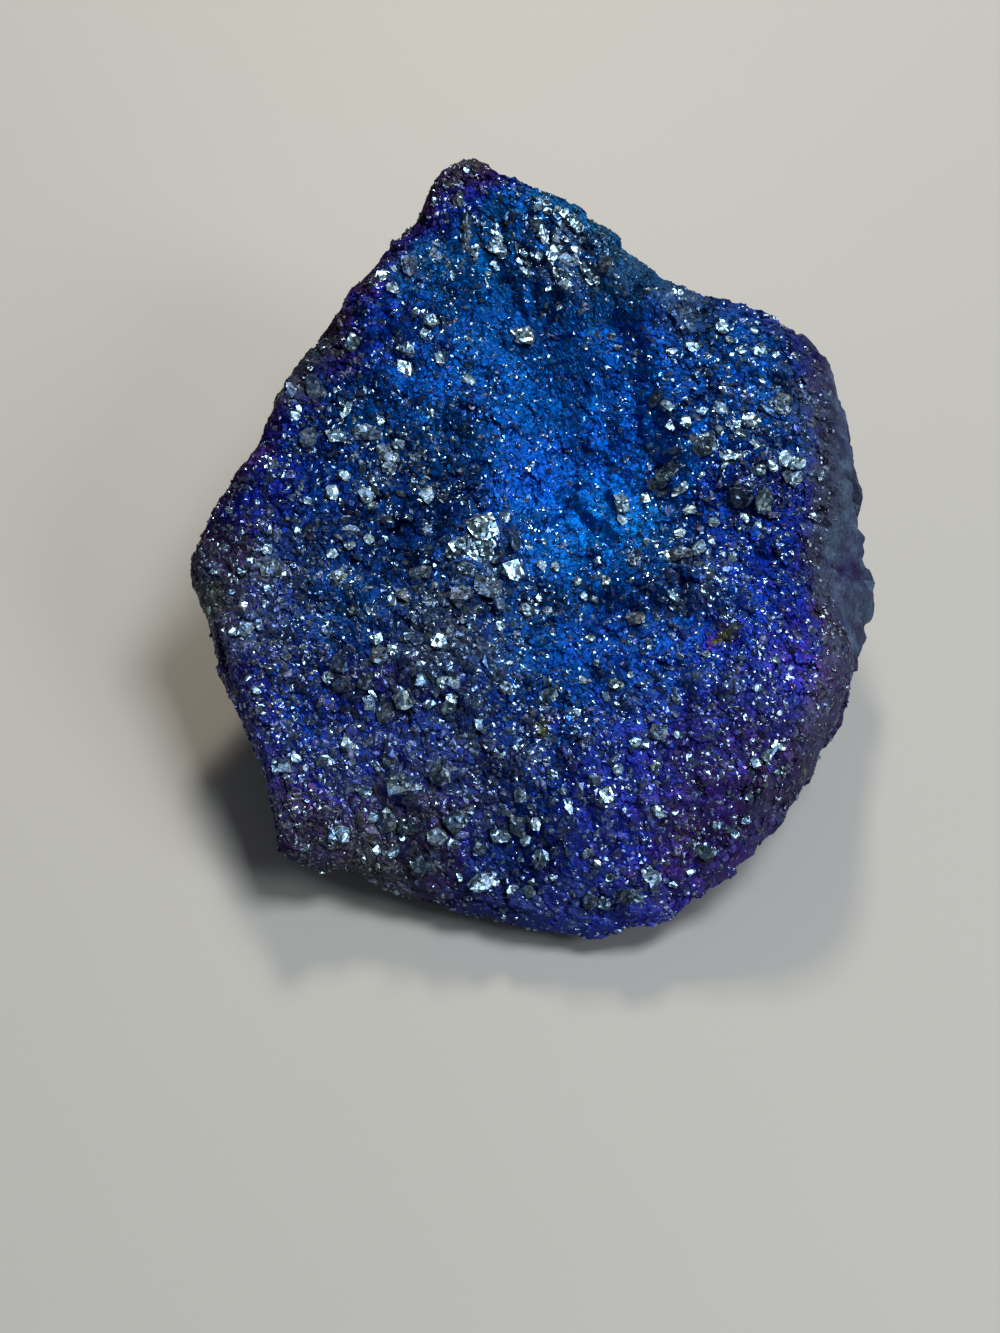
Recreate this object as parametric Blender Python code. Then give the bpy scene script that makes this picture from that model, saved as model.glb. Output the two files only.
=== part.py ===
"""Peacock ore specimen: one broken chunk of iridescent copper ore.

The chunk lies on a flat break at z = 0. Its glittering upper face is an
irregular pentagon with a blunt peak at +Y, and it leans down towards -Y.
Lengths are in millimetres until a mesh is written, in metres, with +Z up.
"""
import math
from itertools import product

import bpy
import numpy as np
from mathutils import Matrix

MM = 0.001

# Driving dimensions, in millimetres and degrees
FACE_MIDDLE_HEIGHT = 12.2
FACE_LEAN = 15.4
PLAN_SHIFT = (0.25, -0.32)
BASE_DEPTH = 0.6
BELLY = 0.85

# How the sphere's area is shared between the face, the walls and the base
FACE_SHARE = 0.50
WALL_SHARE = 0.43
# Share of the wall that lies above the girth
GIRTH_SHARE = 0.3

# Widest outline seen from above: angle from +X in degrees, radius
GIRTH = [
    (5, 20.8), (13, 21.3), (25, 22.4), (33, 23.1), (41, 22.5), (47, 21.1), (54, 19.6), (62, 19.1),
    (72, 20.3), (80, 22.1), (88, 23.7), (95, 24.7), (99, 25.8), (103, 25.4), (107, 24.4), (111, 22.4),
    (117, 21.3), (126, 19.8), (134, 18.9), (140, 18.3), (148, 18.5), (156, 18.5), (165, 18.3), (174, 19.3),
    (180, 21.2), (187, 22.4), (192, 21.9), (197, 21.8), (208, 22.1), (220, 22.8), (227, 24.4), (233, 26.1),
    (237, 25.0), (244, 24.0), (254, 23.8), (264, 24.0), (274, 24.6), (283, 25.5), (292, 25.0), (302, 24.5),
    (310, 23.6), (318, 22.7), (327, 22.4), (337, 21.3), (349, 19.7), (357, 20.5),
]
# Share of that radius at which the glittering face ends
FACE_REACH = [
    (0, 0.87), (12, 0.88), (24, 0.90), (39, 0.93), (52, 0.965), (75, 0.975), (101, 0.965), (140, 0.97),
    (200, 0.975), (270, 0.98), (300, 0.98), (320, 0.965), (330, 0.94), (340, 0.90), (350, 0.88),
]
# How far the widest girth lies below the face's edge
GIRTH_DROP = [
    (0, 4.4), (24, 4.0), (40, 2.8), (60, 2.0), (100, 2.4), (140, 2.2), (190, 1.9), (235, 1.6),
    (270, 1.0), (300, 1.2), (325, 2.6), (345, 4.4),
]
# Radius of the flat break underneath
BASE_REACH = [
    (0, 17.5), (40, 18.5), (70, 16.5), (95, 20.5), (130, 14.5), (170, 15.5), (205, 17.5), (235, 20.5),
    (270, 21.5), (300, 21.0), (330, 19.0),
]

# Relief of the face, each form in plan millimetres
DISH = {"at": (1.0, 4.0), "reach": (11.0, 13.0), "rise": -1.2}
HOLLOW = {"at": (-8.0, 1.5), "reach": (4.2, 5.5), "rise": -1.3}
RIGHT_LOBE = {"at": (13.5, 7.5), "reach": (5.0, 5.5), "rise": 0.6}
LOWER_SWELL = {"at": (3.0, -14.0), "reach": (14.0, 7.0), "rise": 1.0}
CLUSTER_MOUND = {"at": (-3.6, -2.8), "reach": (3.0, 3.2), "rise": 0.8}
SECOND_MOUND = {"at": (-6.2, -10.0), "reach": (3.6, 3.0), "rise": 0.6}
BLUNT_PEAK = {"at": (-4.8, 24.5), "reach": (3.0, 3.2), "rise": 0.3}
RIGHT_SHOULDER = {"at": (15.0, -13.0), "reach": (6.0, 8.0), "rise": 1.8}
LEFT_CORNER = {"at": (-18.0, -17.0), "reach": (5.0, 5.0), "rise": 1.2}
MOUNDS = [
    DISH, HOLLOW, RIGHT_LOBE, LOWER_SWELL, CLUSTER_MOUND, SECOND_MOUND, BLUNT_PEAK, RIGHT_SHOULDER, LEFT_CORNER,
]

LEFT_RIDGE = {
    "path": [(-6.4, 23.0), (-9.0, 18.0), (-11.8, 13.0), (-15.6, 8.0), (-18.5, 3.0)],
    "width": 3.2,
    "rise": 2.2,
}
VALLEY = {
    "path": [(-4.0, 18.0), (-1.0, 13.3), (1.6, 8.3), (4.1, 2.7), (2.7, -2.7)],
    "width": 4.2,
    "rise": -1.1,
}
CREASE = {"path": [(5.2, 14.5), (7.2, 8.8), (8.4, 2.6)], "width": 0.9, "rise": -0.4}
FAR_RIDGE = {"path": [(-2.0, 23.5), (3.5, 20.6), (6.5, 17.6)], "width": 2.4, "rise": 0.7}
NEAR_FALL = {"path": [(-9.0, -22.5), (0.0, -26.0), (8.0, -25.5)], "width": 7.0, "rise": -2.4}
BANDS = [LEFT_RIDGE, VALLEY, CREASE, FAR_RIDGE, NEAR_FALL]

# Ledges: the ground on the right hand of each line stands higher by the drop
LEDGES = [
    {"start": (8.6, 2.4), "end": (5.4, 15.0), "drop": 1.1, "soft": 1.1, "run": 5.0},
    {"start": (12.4, -6.9), "end": (3.4, -4.9), "drop": 0.8, "soft": 0.6, "run": 5.0},
    {"start": (-2.0, -13.5), "end": (-12.0, -12.0), "drop": 0.6, "soft": 0.8, "run": 5.0},
]

# Long crystal ribs that run down the peak's flank
RIBS = {"at": (2.0, 19.0), "reach": (4.5, 3.6), "rise": 0.32, "pitch": 1.7, "heading": -68.0}

FACE_LUMPS = [(9.0, 0.55, 11), (4.2, 0.34, 12), (2.4, 0.20, 13)]
WALL_LUMPS = [(8.0, 0.9, 21), (3.6, 0.45, 22), (2.2, 0.22, 23)]
EDGE_LUMPS = [(3.4, 0.14, 31), (1.8, 0.07, 32)]
EDGE_ROUNDING = 0.5

# The bulge low on the right wall
SIDE_BULGE = {"angle": -9.0, "spread": 11.0, "height": 5.4, "thickness": 2.4, "rise": 1.9}

# Flat breaks that trim the walls: heading, tilt off the wall's own slope, depth of the bite
BREAK_FIRMNESS = 0.9
BREAKS = [
    (16, -8, -0.9), (44, 8, -0.2), (70, -10, -0.6), (92, 10, 0.3), (120, -8, -0.5), (146, 10, 0.1),
    (174, -8, -0.6), (206, 6, -0.2), (238, -4, -0.2), (336, 4, -0.7), (58, 26, -0.6), (104, 28, 0.2),
    (158, 28, 0.0), (6, 26, -0.6), (268, 4, -0.3), (306, 4, -0.3), (222, 24, -0.3), (318, 22, -0.4),
]

# Larger crystals: middle, spread, how many, width, length over width, height over width
CRYSTAL_SEED = 407
CRYSTALS = [
    {"at": (-3.9, -1.2), "spread": (1.2, 1.4), "count": 7, "width": 2.1, "stretch": 1.15, "stand": 0.42},
    {"at": (-1.6, -3.3), "spread": (0.7, 0.8), "count": 3, "width": 1.8, "stretch": 1.1, "stand": 0.42},
    {"at": (-4.2, -4.9), "spread": (1.3, 0.7), "count": 4, "width": 1.7, "stretch": 1.1, "stand": 0.32},
    {"at": (-6.4, -9.6), "spread": (2.6, 2.2), "count": 12, "width": 1.3, "stretch": 1.2, "stand": 0.36},
    {"at": (2.0, 18.4), "spread": (3.0, 2.4), "count": 14, "width": 1.1, "stretch": 2.2, "stand": 0.30},
    {"at": (12.6, 6.2), "spread": (3.4, 3.4), "count": 14, "width": 1.3, "stretch": 1.2, "stand": 0.36},
    {"at": (14.6, 2.4), "spread": (2.0, 1.8), "count": 6, "width": 1.8, "stretch": 1.1, "stand": 0.36},
    {"at": (-10.6, 11.5), "spread": (2.6, 4.0), "count": 12, "width": 1.4, "stretch": 1.2, "stand": 0.34},
    {"at": (-7.8, -19.0), "spread": (2.8, 2.0), "count": 8, "width": 1.7, "stretch": 1.5, "stand": 0.14},
    {"at": (6.8, -22.8), "spread": (3.2, 1.2), "count": 6, "width": 1.5, "stretch": 1.2, "stand": 0.34},
    {"at": (8.0, -5.6), "spread": (3.6, 1.0), "count": 9, "width": 1.2, "stretch": 1.2, "stand": 0.36},
    {"at": (0.0, -2.0), "spread": (15.0, 19.0), "count": 110, "width": 1.25, "stretch": 1.2, "stand": 0.26},
]
CRYSTAL_SIDES = 5
SIDE_SLOPES = (0.9, 2.0)
TOP_TILT = 0.38

BODY_SUBDIVISIONS = 7
BODY_KEEP = 0.115


def clear_scene():
    """Take away every object that the file opened with."""
    for thing in list(bpy.data.objects):
        bpy.data.objects.remove(thing, do_unlink=True)


def new_collection(name):
    """Add a collection to the scene."""
    collection = bpy.data.collections.new(name)
    bpy.context.scene.collection.children.link(collection)
    return collection


def round_curve(stops, angle):
    """Read a closed list of (degrees, value) stops at any angle, with a smooth curve through them."""
    where = np.array([stop[0] for stop in stops], float)
    value = np.array([stop[1] for stop in stops], float)
    order = np.argsort(where % 360.0)
    where = where[order] % 360.0
    value = value[order]
    count = len(where)
    turn = (angle - where[0]) % 360.0
    gaps = np.append(where[1:], where[0] + 360.0) - where
    reach = np.append(0.0, np.cumsum(gaps))
    index = np.clip(np.searchsorted(reach, turn, side="right") - 1, 0, count - 1)
    u = (turn - reach[index]) / gaps[index]
    following = (index + 1) % count
    slope = (np.roll(value, -1) - np.roll(value, 1)) / (gaps + np.roll(gaps, 1))
    start_slope = slope[index] * gaps[index]
    end_slope = slope[following] * gaps[index]
    rise = value[following] - value[index]
    return (
        value[index]
        + u * start_slope
        + u**2 * (3.0 * rise - 2.0 * start_slope - end_slope)
        + u**3 * (start_slope + end_slope - 2.0 * rise)
    )


def smooth_step(value, start, end):
    """Rise from 0 at start to 1 at end, level at both."""
    u = np.clip((value - start) / (end - start), 0.0, 1.0)
    return u * u * (3.0 - 2.0 * u)


def lattice_noise(points, cell, seed):
    """Smooth noise of about -1 to 1: a random slope at each corner of a cubic lattice, blended."""
    rng = np.random.default_rng(seed)
    slopes = rng.normal(size=(64, 3))
    slopes /= np.linalg.norm(slopes, axis=1)[:, None]
    shuffle = rng.permutation(64)
    scaled = points / cell
    corner = np.floor(scaled).astype(int)
    inside = scaled - corner
    fade = inside**3 * (inside * (inside * 6.0 - 15.0) + 10.0)
    total = np.zeros(len(points))
    for step in product((0, 1), repeat=3):
        at = corner + np.array(step)
        key = shuffle[at[:, 0] % 64]
        key = shuffle[(key + at[:, 1]) % 64]
        key = shuffle[(key + at[:, 2]) % 64]
        reach = inside - np.array(step)
        blend = np.prod(np.where(step, fade, 1.0 - fade), axis=1)
        total += blend * np.sum(slopes[key] * reach, axis=1)
    return 1.7 * total


def lumps(points, layers):
    """Sum layers of noise, each a cell size, a height and a seed."""
    total = np.zeros(len(points))
    for cell, rise, seed in layers:
        total += rise * lattice_noise(points, cell, seed)
    return total


def mound(x, y, form):
    """A rounded rise or hollow: its height falls off as a bell in plan."""
    across = (x - form["at"][0]) / form["reach"][0]
    along = (y - form["at"][1]) / form["reach"][1]
    return form["rise"] * np.exp(-(across**2 + along**2))


def distance_to_path(x, y, path):
    """Shortest plan distance to a chain of straight runs."""
    nearest = np.full(len(x), np.inf)
    for (ax, ay), (bx, by) in zip(path[:-1], path[1:]):
        run_x = bx - ax
        run_y = by - ay
        share = ((x - ax) * run_x + (y - ay) * run_y) / (run_x**2 + run_y**2)
        share = np.clip(share, 0.0, 1.0)
        gap = np.hypot(x - ax - share * run_x, y - ay - share * run_y)
        nearest = np.minimum(nearest, gap)
    return nearest


def band(x, y, form):
    """A ridge or valley along a path, with a bell for its section."""
    gap = distance_to_path(x, y, form["path"])
    return form["rise"] * np.exp(-((gap / form["width"]) ** 2))


def ledge(x, y, form):
    """A drop across a line: the ground on the right hand of start to end stands higher, then fades."""
    ax, ay = form["start"]
    bx, by = form["end"]
    length = math.hypot(bx - ax, by - ay)
    run_x = (bx - ax) / length
    run_y = (by - ay) / length
    along = (x - ax) * run_x + (y - ay) * run_y
    beside = (x - ax) * run_y - (y - ay) * run_x
    ends = smooth_step(along, -2.5, 1.5) * (1.0 - smooth_step(along, length - 1.5, length + 2.5))
    high = smooth_step(beside, -form["soft"], form["soft"])
    fade = np.exp(-((np.maximum(beside, 0.0) / form["run"]) ** 2))
    return form["drop"] * high * fade * ends


def ribs(x, y):
    """Long low crystals side by side: a saw-toothed wave across their heading, inside a bell."""
    heading = math.radians(RIBS["heading"])
    across = -(x * math.sin(heading)) + y * math.cos(heading)
    along = x * math.cos(heading) + y * math.sin(heading)
    phase = (across / RIBS["pitch"] + 0.35 * np.sin(along * 1.3)) % 1.0
    tooth = 1.0 - np.abs(2.0 * phase - 1.0)
    return mound(x, y, RIBS) * (2.0 * tooth - 1.0)


def ground_height(x, y):
    """Height of the upper face without its crystals: a leaning plane, its named forms and small lumps."""
    height = FACE_MIDDLE_HEIGHT + y * math.tan(math.radians(FACE_LEAN))
    for form in MOUNDS:
        height = height + mound(x, y, form)
    for form in BANDS:
        height = height + band(x, y, form)
    for form in LEDGES:
        height = height + ledge(x, y, form)
    flat = np.stack([x, y, np.zeros(len(x))], axis=1)
    return height + ribs(x, y) + lumps(flat, FACE_LUMPS)


def grow_crystals():
    """Lay out the larger crystals: each has a place, a heading and flat faces with their own slopes."""
    rng = np.random.default_rng(CRYSTAL_SEED)
    crystals = []
    for group in CRYSTALS:
        for _ in range(group["count"]):
            x = group["at"][0] + group["spread"][0] * rng.uniform(-1.0, 1.0)
            y = group["at"][1] + group["spread"][1] * rng.uniform(-1.0, 1.0)
            width = group["width"] * rng.uniform(0.7, 1.3)
            heading = rng.uniform(0.0, math.pi)
            if group["stretch"] > 2.0:
                heading = math.radians(RIBS["heading"]) + rng.uniform(-0.25, 0.25)
            spacing = 2.0 * math.pi / CRYSTAL_SIDES
            turns = spacing * (np.arange(CRYSTAL_SIDES) + rng.uniform(-0.3, 0.3, CRYSTAL_SIDES))
            crystals.append({
                "x": x,
                "y": y,
                "width": width,
                "stretch": group["stretch"],
                "heading": heading,
                "turns": turns,
                "reaches": 0.5 * width * rng.uniform(0.8, 1.15, CRYSTAL_SIDES),
                "slopes": rng.uniform(SIDE_SLOPES[0], SIDE_SLOPES[1], CRYSTAL_SIDES),
                "top": width * group["stand"] * rng.uniform(0.7, 1.2),
                "tilt": rng.normal(0.0, TOP_TILT, 2),
            })
    return crystals


def crystal_height(x, y, crystal, foot):
    """Upper surface of one crystal: the lowest of its flat top and its flat sides."""
    east = math.cos(crystal["heading"])
    north = math.sin(crystal["heading"])
    along = ((x - crystal["x"]) * east + (y - crystal["y"]) * north) / crystal["stretch"]
    across = (y - crystal["y"]) * east - (x - crystal["x"]) * north
    height = crystal["top"] + crystal["tilt"][0] * along + crystal["tilt"][1] * across
    for turn, reach, slope in zip(crystal["turns"], crystal["reaches"], crystal["slopes"]):
        side = slope * (reach - along * math.cos(turn) - across * math.sin(turn))
        height = np.minimum(height, side)
    lean = (y - crystal["y"]) * math.tan(math.radians(FACE_LEAN))
    return foot + lean + height


def face_height(x, y):
    """Height of the upper face over a plan point, where crystals stand out of the ground."""
    height = ground_height(x, y)
    crystals = grow_crystals()
    xs = np.array([crystal["x"] for crystal in crystals])
    ys = np.array([crystal["y"] for crystal in crystals])
    feet = ground_height(xs, ys)
    for crystal, foot in zip(crystals, feet):
        reach = crystal["width"] * crystal["stretch"]
        near = np.hypot(x - crystal["x"], y - crystal["y"]) < reach
        raised = crystal_height(x[near], y[near], crystal, foot)
        height[near] = np.maximum(height[near], raised)
    return height


def wall_chord(heading):
    """Ends of the wall's straight chord at one heading: radius and height of the girth, and of the base."""
    angle = np.array([float(heading)])
    girth = round_curve(GIRTH, angle)
    east = np.cos(np.radians(angle))
    north = np.sin(np.radians(angle))
    edge = girth * round_curve(FACE_REACH, angle)
    height = ground_height(edge * east, edge * north) - round_curve(GIRTH_DROP, angle)
    return girth[0], height[0], round_curve(BASE_REACH, angle)[0]


def trim_by_breaks(points, weight):
    """Press what stands outside each flat break back onto that break."""
    for heading, extra_tilt, bite in BREAKS:
        turn = math.radians(heading)
        girth, height, base = wall_chord(heading)
        drop = math.atan2(girth - base, height) + math.radians(extra_tilt)
        normal = np.array([
            math.cos(turn) * math.cos(drop),
            math.sin(turn) * math.cos(drop),
            -math.sin(drop),
        ])
        half_way = (girth + base) / 2.0
        middle = np.array([half_way * math.cos(turn), half_way * math.sin(turn), height / 2.0])
        outside = (points - middle) @ normal + bite
        points = points - (BREAK_FIRMNESS * weight * np.maximum(outside, 0.0))[:, None] * normal
    return points


def outline_at(angle, east, north):
    """Radii of the face's edge, the widest girth and the base at each angle, with small lumps."""
    girth = round_curve(GIRTH, angle)
    ring = np.stack([girth * east, girth * north, np.zeros(len(girth))], axis=1)
    girth = girth + lumps(ring, EDGE_LUMPS)
    return girth * round_curve(FACE_REACH, angle), girth, round_curve(BASE_REACH, angle)


def wall_section(down, edge, girth, base, edge_z, girth_z):
    """Radius and height down the wall: a quarter ellipse out to the girth, then a belly in to the base."""
    upper = np.clip(down / GIRTH_SHARE, 0.0, 1.0) * (math.pi / 2.0)
    lower = np.clip((down - GIRTH_SHARE) / (1.0 - GIRTH_SHARE), 0.0, 1.0)
    inward = lower + (1.0 - np.cos(lower * math.pi / 2.0) - lower) * BELLY
    downward = lower + (np.sin(lower * math.pi / 2.0) - lower) * BELLY
    radius = edge + (girth - edge) * np.sin(upper) + (base - girth) * inward
    height = edge_z + (girth_z - edge_z) * (1.0 - np.cos(upper)) - (girth_z + BASE_DEPTH) * downward
    return radius, height


def side_bulge(angle, height):
    """The rounded bulge low on the wall: a bell in angle and in height."""
    away = (angle - SIDE_BULGE["angle"] + 180.0) % 360.0 - 180.0
    rise = (height - SIDE_BULGE["height"]) / SIDE_BULGE["thickness"]
    return SIDE_BULGE["rise"] * np.exp(-((away / SIDE_BULGE["spread"]) ** 2) - rise**2)


def ore_point(direction):
    """Carry points of a unit sphere to the chunk, in millimetres.

    The share of the sphere's area above a point says whether it lies on the
    face, on the wall or under the base, and its angle picks the outline.
    """
    angle = np.degrees(np.arctan2(direction[:, 1], direction[:, 0])) % 360.0
    share = (1.0 - direction[:, 2]) / 2.0
    east = np.cos(np.radians(angle))
    north = np.sin(np.radians(angle))
    edge, girth, base = outline_at(angle, east, north)

    out = np.sqrt(np.clip(share / FACE_SHARE, 0.0, 1.0))
    face_x = out * edge * east
    face_y = out * edge * north
    face_z = face_height(face_x, face_y) - EDGE_ROUNDING * out**14

    girth_z = face_z - round_curve(GIRTH_DROP, angle)
    down = np.clip((share - FACE_SHARE) / WALL_SHARE, 0.0, 1.0)
    under = np.clip((share - FACE_SHARE - WALL_SHARE) / (1.0 - FACE_SHARE - WALL_SHARE), 0.0, 1.0)
    radius, height = wall_section(down, edge, girth, base, face_z, girth_z)
    radius = radius * np.sqrt(1.0 - under)
    wall = np.stack([radius * east, radius * north, height], axis=1)

    rough = smooth_step(down, 0.25, 0.6)
    swell = lumps(wall, WALL_LUMPS) * rough * (1.0 - under)
    swell = swell + side_bulge(angle, height) * smooth_step(down, 0.05, 0.30)
    wall = trim_by_breaks(wall, rough)
    wall[:, 0] += swell * east
    wall[:, 1] += swell * north

    face = np.stack([face_x, face_y, face_z], axis=1)
    on_face = (share < FACE_SHARE)[:, None]
    return np.where(on_face, face, wall) + np.array([PLAN_SHIFT[0], PLAN_SHIFT[1], 0.0])


def make_body(collection):
    """The chunk itself: a fine sphere carried to its shape, then thinned where it is nearly flat."""
    bpy.ops.mesh.primitive_ico_sphere_add(subdivisions=BODY_SUBDIVISIONS, radius=1.0)
    body = bpy.context.object
    body.name = "peacock_ore"
    mesh = body.data
    mesh.name = "peacock_ore"
    places = np.empty(len(mesh.vertices) * 3)
    mesh.vertices.foreach_get("co", places)
    direction = places.reshape(-1, 3)
    direction = direction / np.linalg.norm(direction, axis=1)[:, None]
    mesh.vertices.foreach_set("co", (ore_point(direction) * MM).ravel())
    mesh.update()
    for holder in list(body.users_collection):
        holder.objects.unlink(body)
    collection.objects.link(body)
    thinning = body.modifiers.new("thin_flat_places", "DECIMATE")
    thinning.decimate_type = "COLLAPSE"
    thinning.ratio = BODY_KEEP
    thinning.use_collapse_triangulate = True
    return body


def make_base_cutter(collection):
    """A slab under z = 0 that leaves the chunk a flat break to rest on."""
    slab_depth = 10.0
    slab_width = 80.0
    bpy.ops.mesh.primitive_cube_add(size=1.0, location=(0.0, 0.0, -slab_depth * MM / 2.0))
    slab = bpy.context.object
    slab.name = "base_slab"
    slab.data.transform(Matrix.Diagonal((slab_width * MM, slab_width * MM, slab_depth * MM, 1.0)))
    for holder in list(slab.users_collection):
        holder.objects.unlink(slab)
    collection.objects.link(slab)
    hide_tool(slab)
    return slab


def hide_tool(thing):
    """Show a cutter as wire and keep it out of renders."""
    thing.hide_render = True
    thing.display_type = "WIRE"


def cut_base(body, slab):
    """Cut the base flat with the slab."""
    cut = body.modifiers.new("flat_base", "BOOLEAN")
    cut.operation = "DIFFERENCE"
    cut.solver = "EXACT"
    cut.object = slab


def tarnished_ore():
    """Blue metallic tarnish with a soft sheen."""
    material = bpy.data.materials.new("tarnished_ore")
    material.use_nodes = True
    shader = material.node_tree.nodes["Principled BSDF"]
    shader.inputs["Base Color"].default_value = (0.012, 0.06, 0.30, 1.0)
    shader.inputs["Metallic"].default_value = 0.85
    shader.inputs["Roughness"].default_value = 0.38
    return material


def main():
    """Build the specimen."""
    clear_scene()
    specimen = new_collection("peacock_ore_specimen")
    tools = new_collection("cutters")
    body = make_body(specimen)
    cut_base(body, make_base_cutter(tools))
    body.data.materials.append(tarnished_ore())


main()
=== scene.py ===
"""Peacock ore specimen, dressed: a glittering blue and violet chunk of broken copper ore.

Shapes are worked out in millimetres as whole arrays, then written in metres.
The chunk's form is a function of a point on the unit sphere, and the grains
are small faceted forms strewn over it, each with its own size, turn and tilt.
"""

import math
from itertools import product

import bpy
import numpy as np
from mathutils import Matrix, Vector


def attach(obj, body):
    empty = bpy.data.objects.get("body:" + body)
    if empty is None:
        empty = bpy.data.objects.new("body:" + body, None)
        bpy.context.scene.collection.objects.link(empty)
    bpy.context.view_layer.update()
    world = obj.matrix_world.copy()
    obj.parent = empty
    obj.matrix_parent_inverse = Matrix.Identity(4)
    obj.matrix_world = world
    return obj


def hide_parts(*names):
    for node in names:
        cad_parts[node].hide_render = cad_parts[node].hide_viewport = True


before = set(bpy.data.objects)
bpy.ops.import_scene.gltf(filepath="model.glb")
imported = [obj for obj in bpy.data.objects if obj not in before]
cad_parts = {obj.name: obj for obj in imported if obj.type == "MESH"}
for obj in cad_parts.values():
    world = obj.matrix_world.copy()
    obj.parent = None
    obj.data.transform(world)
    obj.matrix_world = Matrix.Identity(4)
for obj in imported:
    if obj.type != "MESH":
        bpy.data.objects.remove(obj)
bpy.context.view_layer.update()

MM = 0.001

# The chunk's driving dimensions, in millimetres and degrees, as in its solid
FACE_MIDDLE_HEIGHT = 12.2
FACE_LEAN = 15.4
PLAN_SHIFT = (0.25, -0.32)
BASE_DEPTH = 0.6
BELLY = 0.85
GIRTH_SHARE = 0.3
# The face's edge is rounded off by this much, more and more steeply on the way out
EDGE_ROUNDING = 0.5
EDGE_SHARPNESS = 14
# Shares of the way down the wall over which lumps, the bulge and the wall's own facets come in
ROUGH_FADE = (0.25, 0.6)
BULGE_FADE = (0.05, 0.3)
FACET_FADE = (0.0, 0.15)

# Widest outline seen from above: angle from +X in degrees, radius
GIRTH = [
    (5, 20.8), (13, 21.3), (25, 22.4), (33, 23.1), (41, 22.5), (47, 21.1), (54, 19.6), (62, 19.1),
    (72, 20.3), (80, 22.1), (88, 23.7), (95, 24.7), (99, 25.8), (103, 25.4), (107, 24.4), (111, 22.4),
    (117, 21.3), (126, 19.8), (134, 18.9), (140, 18.3), (148, 18.5), (156, 18.5), (165, 18.3),
    (174, 19.3), (180, 21.2), (187, 22.4), (192, 21.9), (197, 21.8), (208, 22.1), (220, 22.8),
    (227, 24.4), (233, 26.1), (237, 25.0), (244, 24.0), (254, 23.8), (264, 24.0), (274, 24.6),
    (283, 25.5), (292, 25.0), (302, 24.5), (310, 23.6), (318, 22.7), (327, 22.4), (337, 21.3),
    (349, 19.7), (357, 20.5),
]
# Share of that radius at which the glittering face ends
FACE_REACH = [
    (0, 0.87), (12, 0.88), (24, 0.9), (39, 0.93), (52, 0.965), (75, 0.975), (101, 0.965), (140, 0.97),
    (200, 0.975), (270, 0.98), (300, 0.98), (320, 0.965), (330, 0.94), (340, 0.9), (350, 0.88),
]
# How far the widest girth lies below the face's edge
GIRTH_DROP = [
    (0, 4.4), (24, 4.0), (40, 2.8), (60, 2.0), (100, 2.4), (140, 2.2), (190, 1.9), (235, 1.6),
    (270, 1.0), (300, 1.2), (325, 2.6), (345, 4.4),
]
# Radius of the flat break underneath
BASE_REACH = [
    (0, 17.5), (40, 18.5), (70, 16.5), (95, 20.5), (130, 14.5), (170, 15.5), (205, 17.5), (235, 20.5),
    (270, 21.5), (300, 21.0), (330, 19.0),
]

# Relief of the face, each form in plan millimetres
DISH = {"at": (1.0, 4.0), "reach": (11.0, 13.0), "rise": -1.2}
HOLLOW = {"at": (-8.0, 1.5), "reach": (4.2, 5.5), "rise": -1.3}
RIGHT_LOBE = {"at": (13.5, 7.5), "reach": (5.0, 5.5), "rise": 0.6}
LOWER_SWELL = {"at": (3.0, -14.0), "reach": (14.0, 7.0), "rise": 1.0}
CLUSTER_MOUND = {"at": (-3.6, -2.8), "reach": (3.0, 3.2), "rise": 0.8}
SECOND_MOUND = {"at": (-6.2, -10.0), "reach": (3.6, 3.0), "rise": 0.6}
BLUNT_PEAK = {"at": (-4.8, 24.5), "reach": (3.0, 3.2), "rise": 0.3}
RIGHT_SHOULDER = {"at": (15.0, -13.0), "reach": (6.0, 8.0), "rise": 1.8}
LEFT_CORNER = {"at": (-18.0, -17.0), "reach": (5.0, 5.0), "rise": 1.2}
MOUNDS = [
    DISH, HOLLOW, RIGHT_LOBE, LOWER_SWELL, CLUSTER_MOUND, SECOND_MOUND,
    BLUNT_PEAK, RIGHT_SHOULDER, LEFT_CORNER,
]

LEFT_RIDGE = {
    "path": [(-6.4, 23.0), (-9.0, 18.0), (-11.8, 13.0), (-15.6, 8.0), (-18.5, 3.0)],
    "width": 3.2,
    "rise": 2.2,
}
VALLEY = {
    "path": [(-4.0, 18.0), (-1.0, 13.3), (1.6, 8.3), (4.1, 2.7), (2.7, -2.7)],
    "width": 4.2,
    "rise": -1.1,
}
CREASE = {"path": [(5.2, 14.5), (7.2, 8.8), (8.4, 2.6)], "width": 0.9, "rise": -0.4}
FAR_RIDGE = {"path": [(-2.0, 23.5), (3.5, 20.6), (6.5, 17.6)], "width": 2.4, "rise": 0.7}
NEAR_FALL = {"path": [(-9.0, -22.5), (0.0, -26.0), (8.0, -25.5)], "width": 7.0, "rise": -2.4}
BANDS = [LEFT_RIDGE, VALLEY, CREASE, FAR_RIDGE, NEAR_FALL]

# Ledges: the ground on the right hand of each line stands higher by the drop
LEDGES = [
    {"start": (8.6, 2.4), "end": (5.4, 15.0), "drop": 1.1, "soft": 1.1, "run": 5.0},
    {"start": (12.4, -6.9), "end": (3.4, -4.9), "drop": 0.8, "soft": 0.6, "run": 5.0},
    {"start": (-2.0, -13.5), "end": (-12.0, -12.0), "drop": 0.6, "soft": 0.8, "run": 5.0},
]

# How far past its ends a ledge fades out, and how far inside them it is whole
LEDGE_OUTRUN = 2.5
LEDGE_INSET = 1.5

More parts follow.
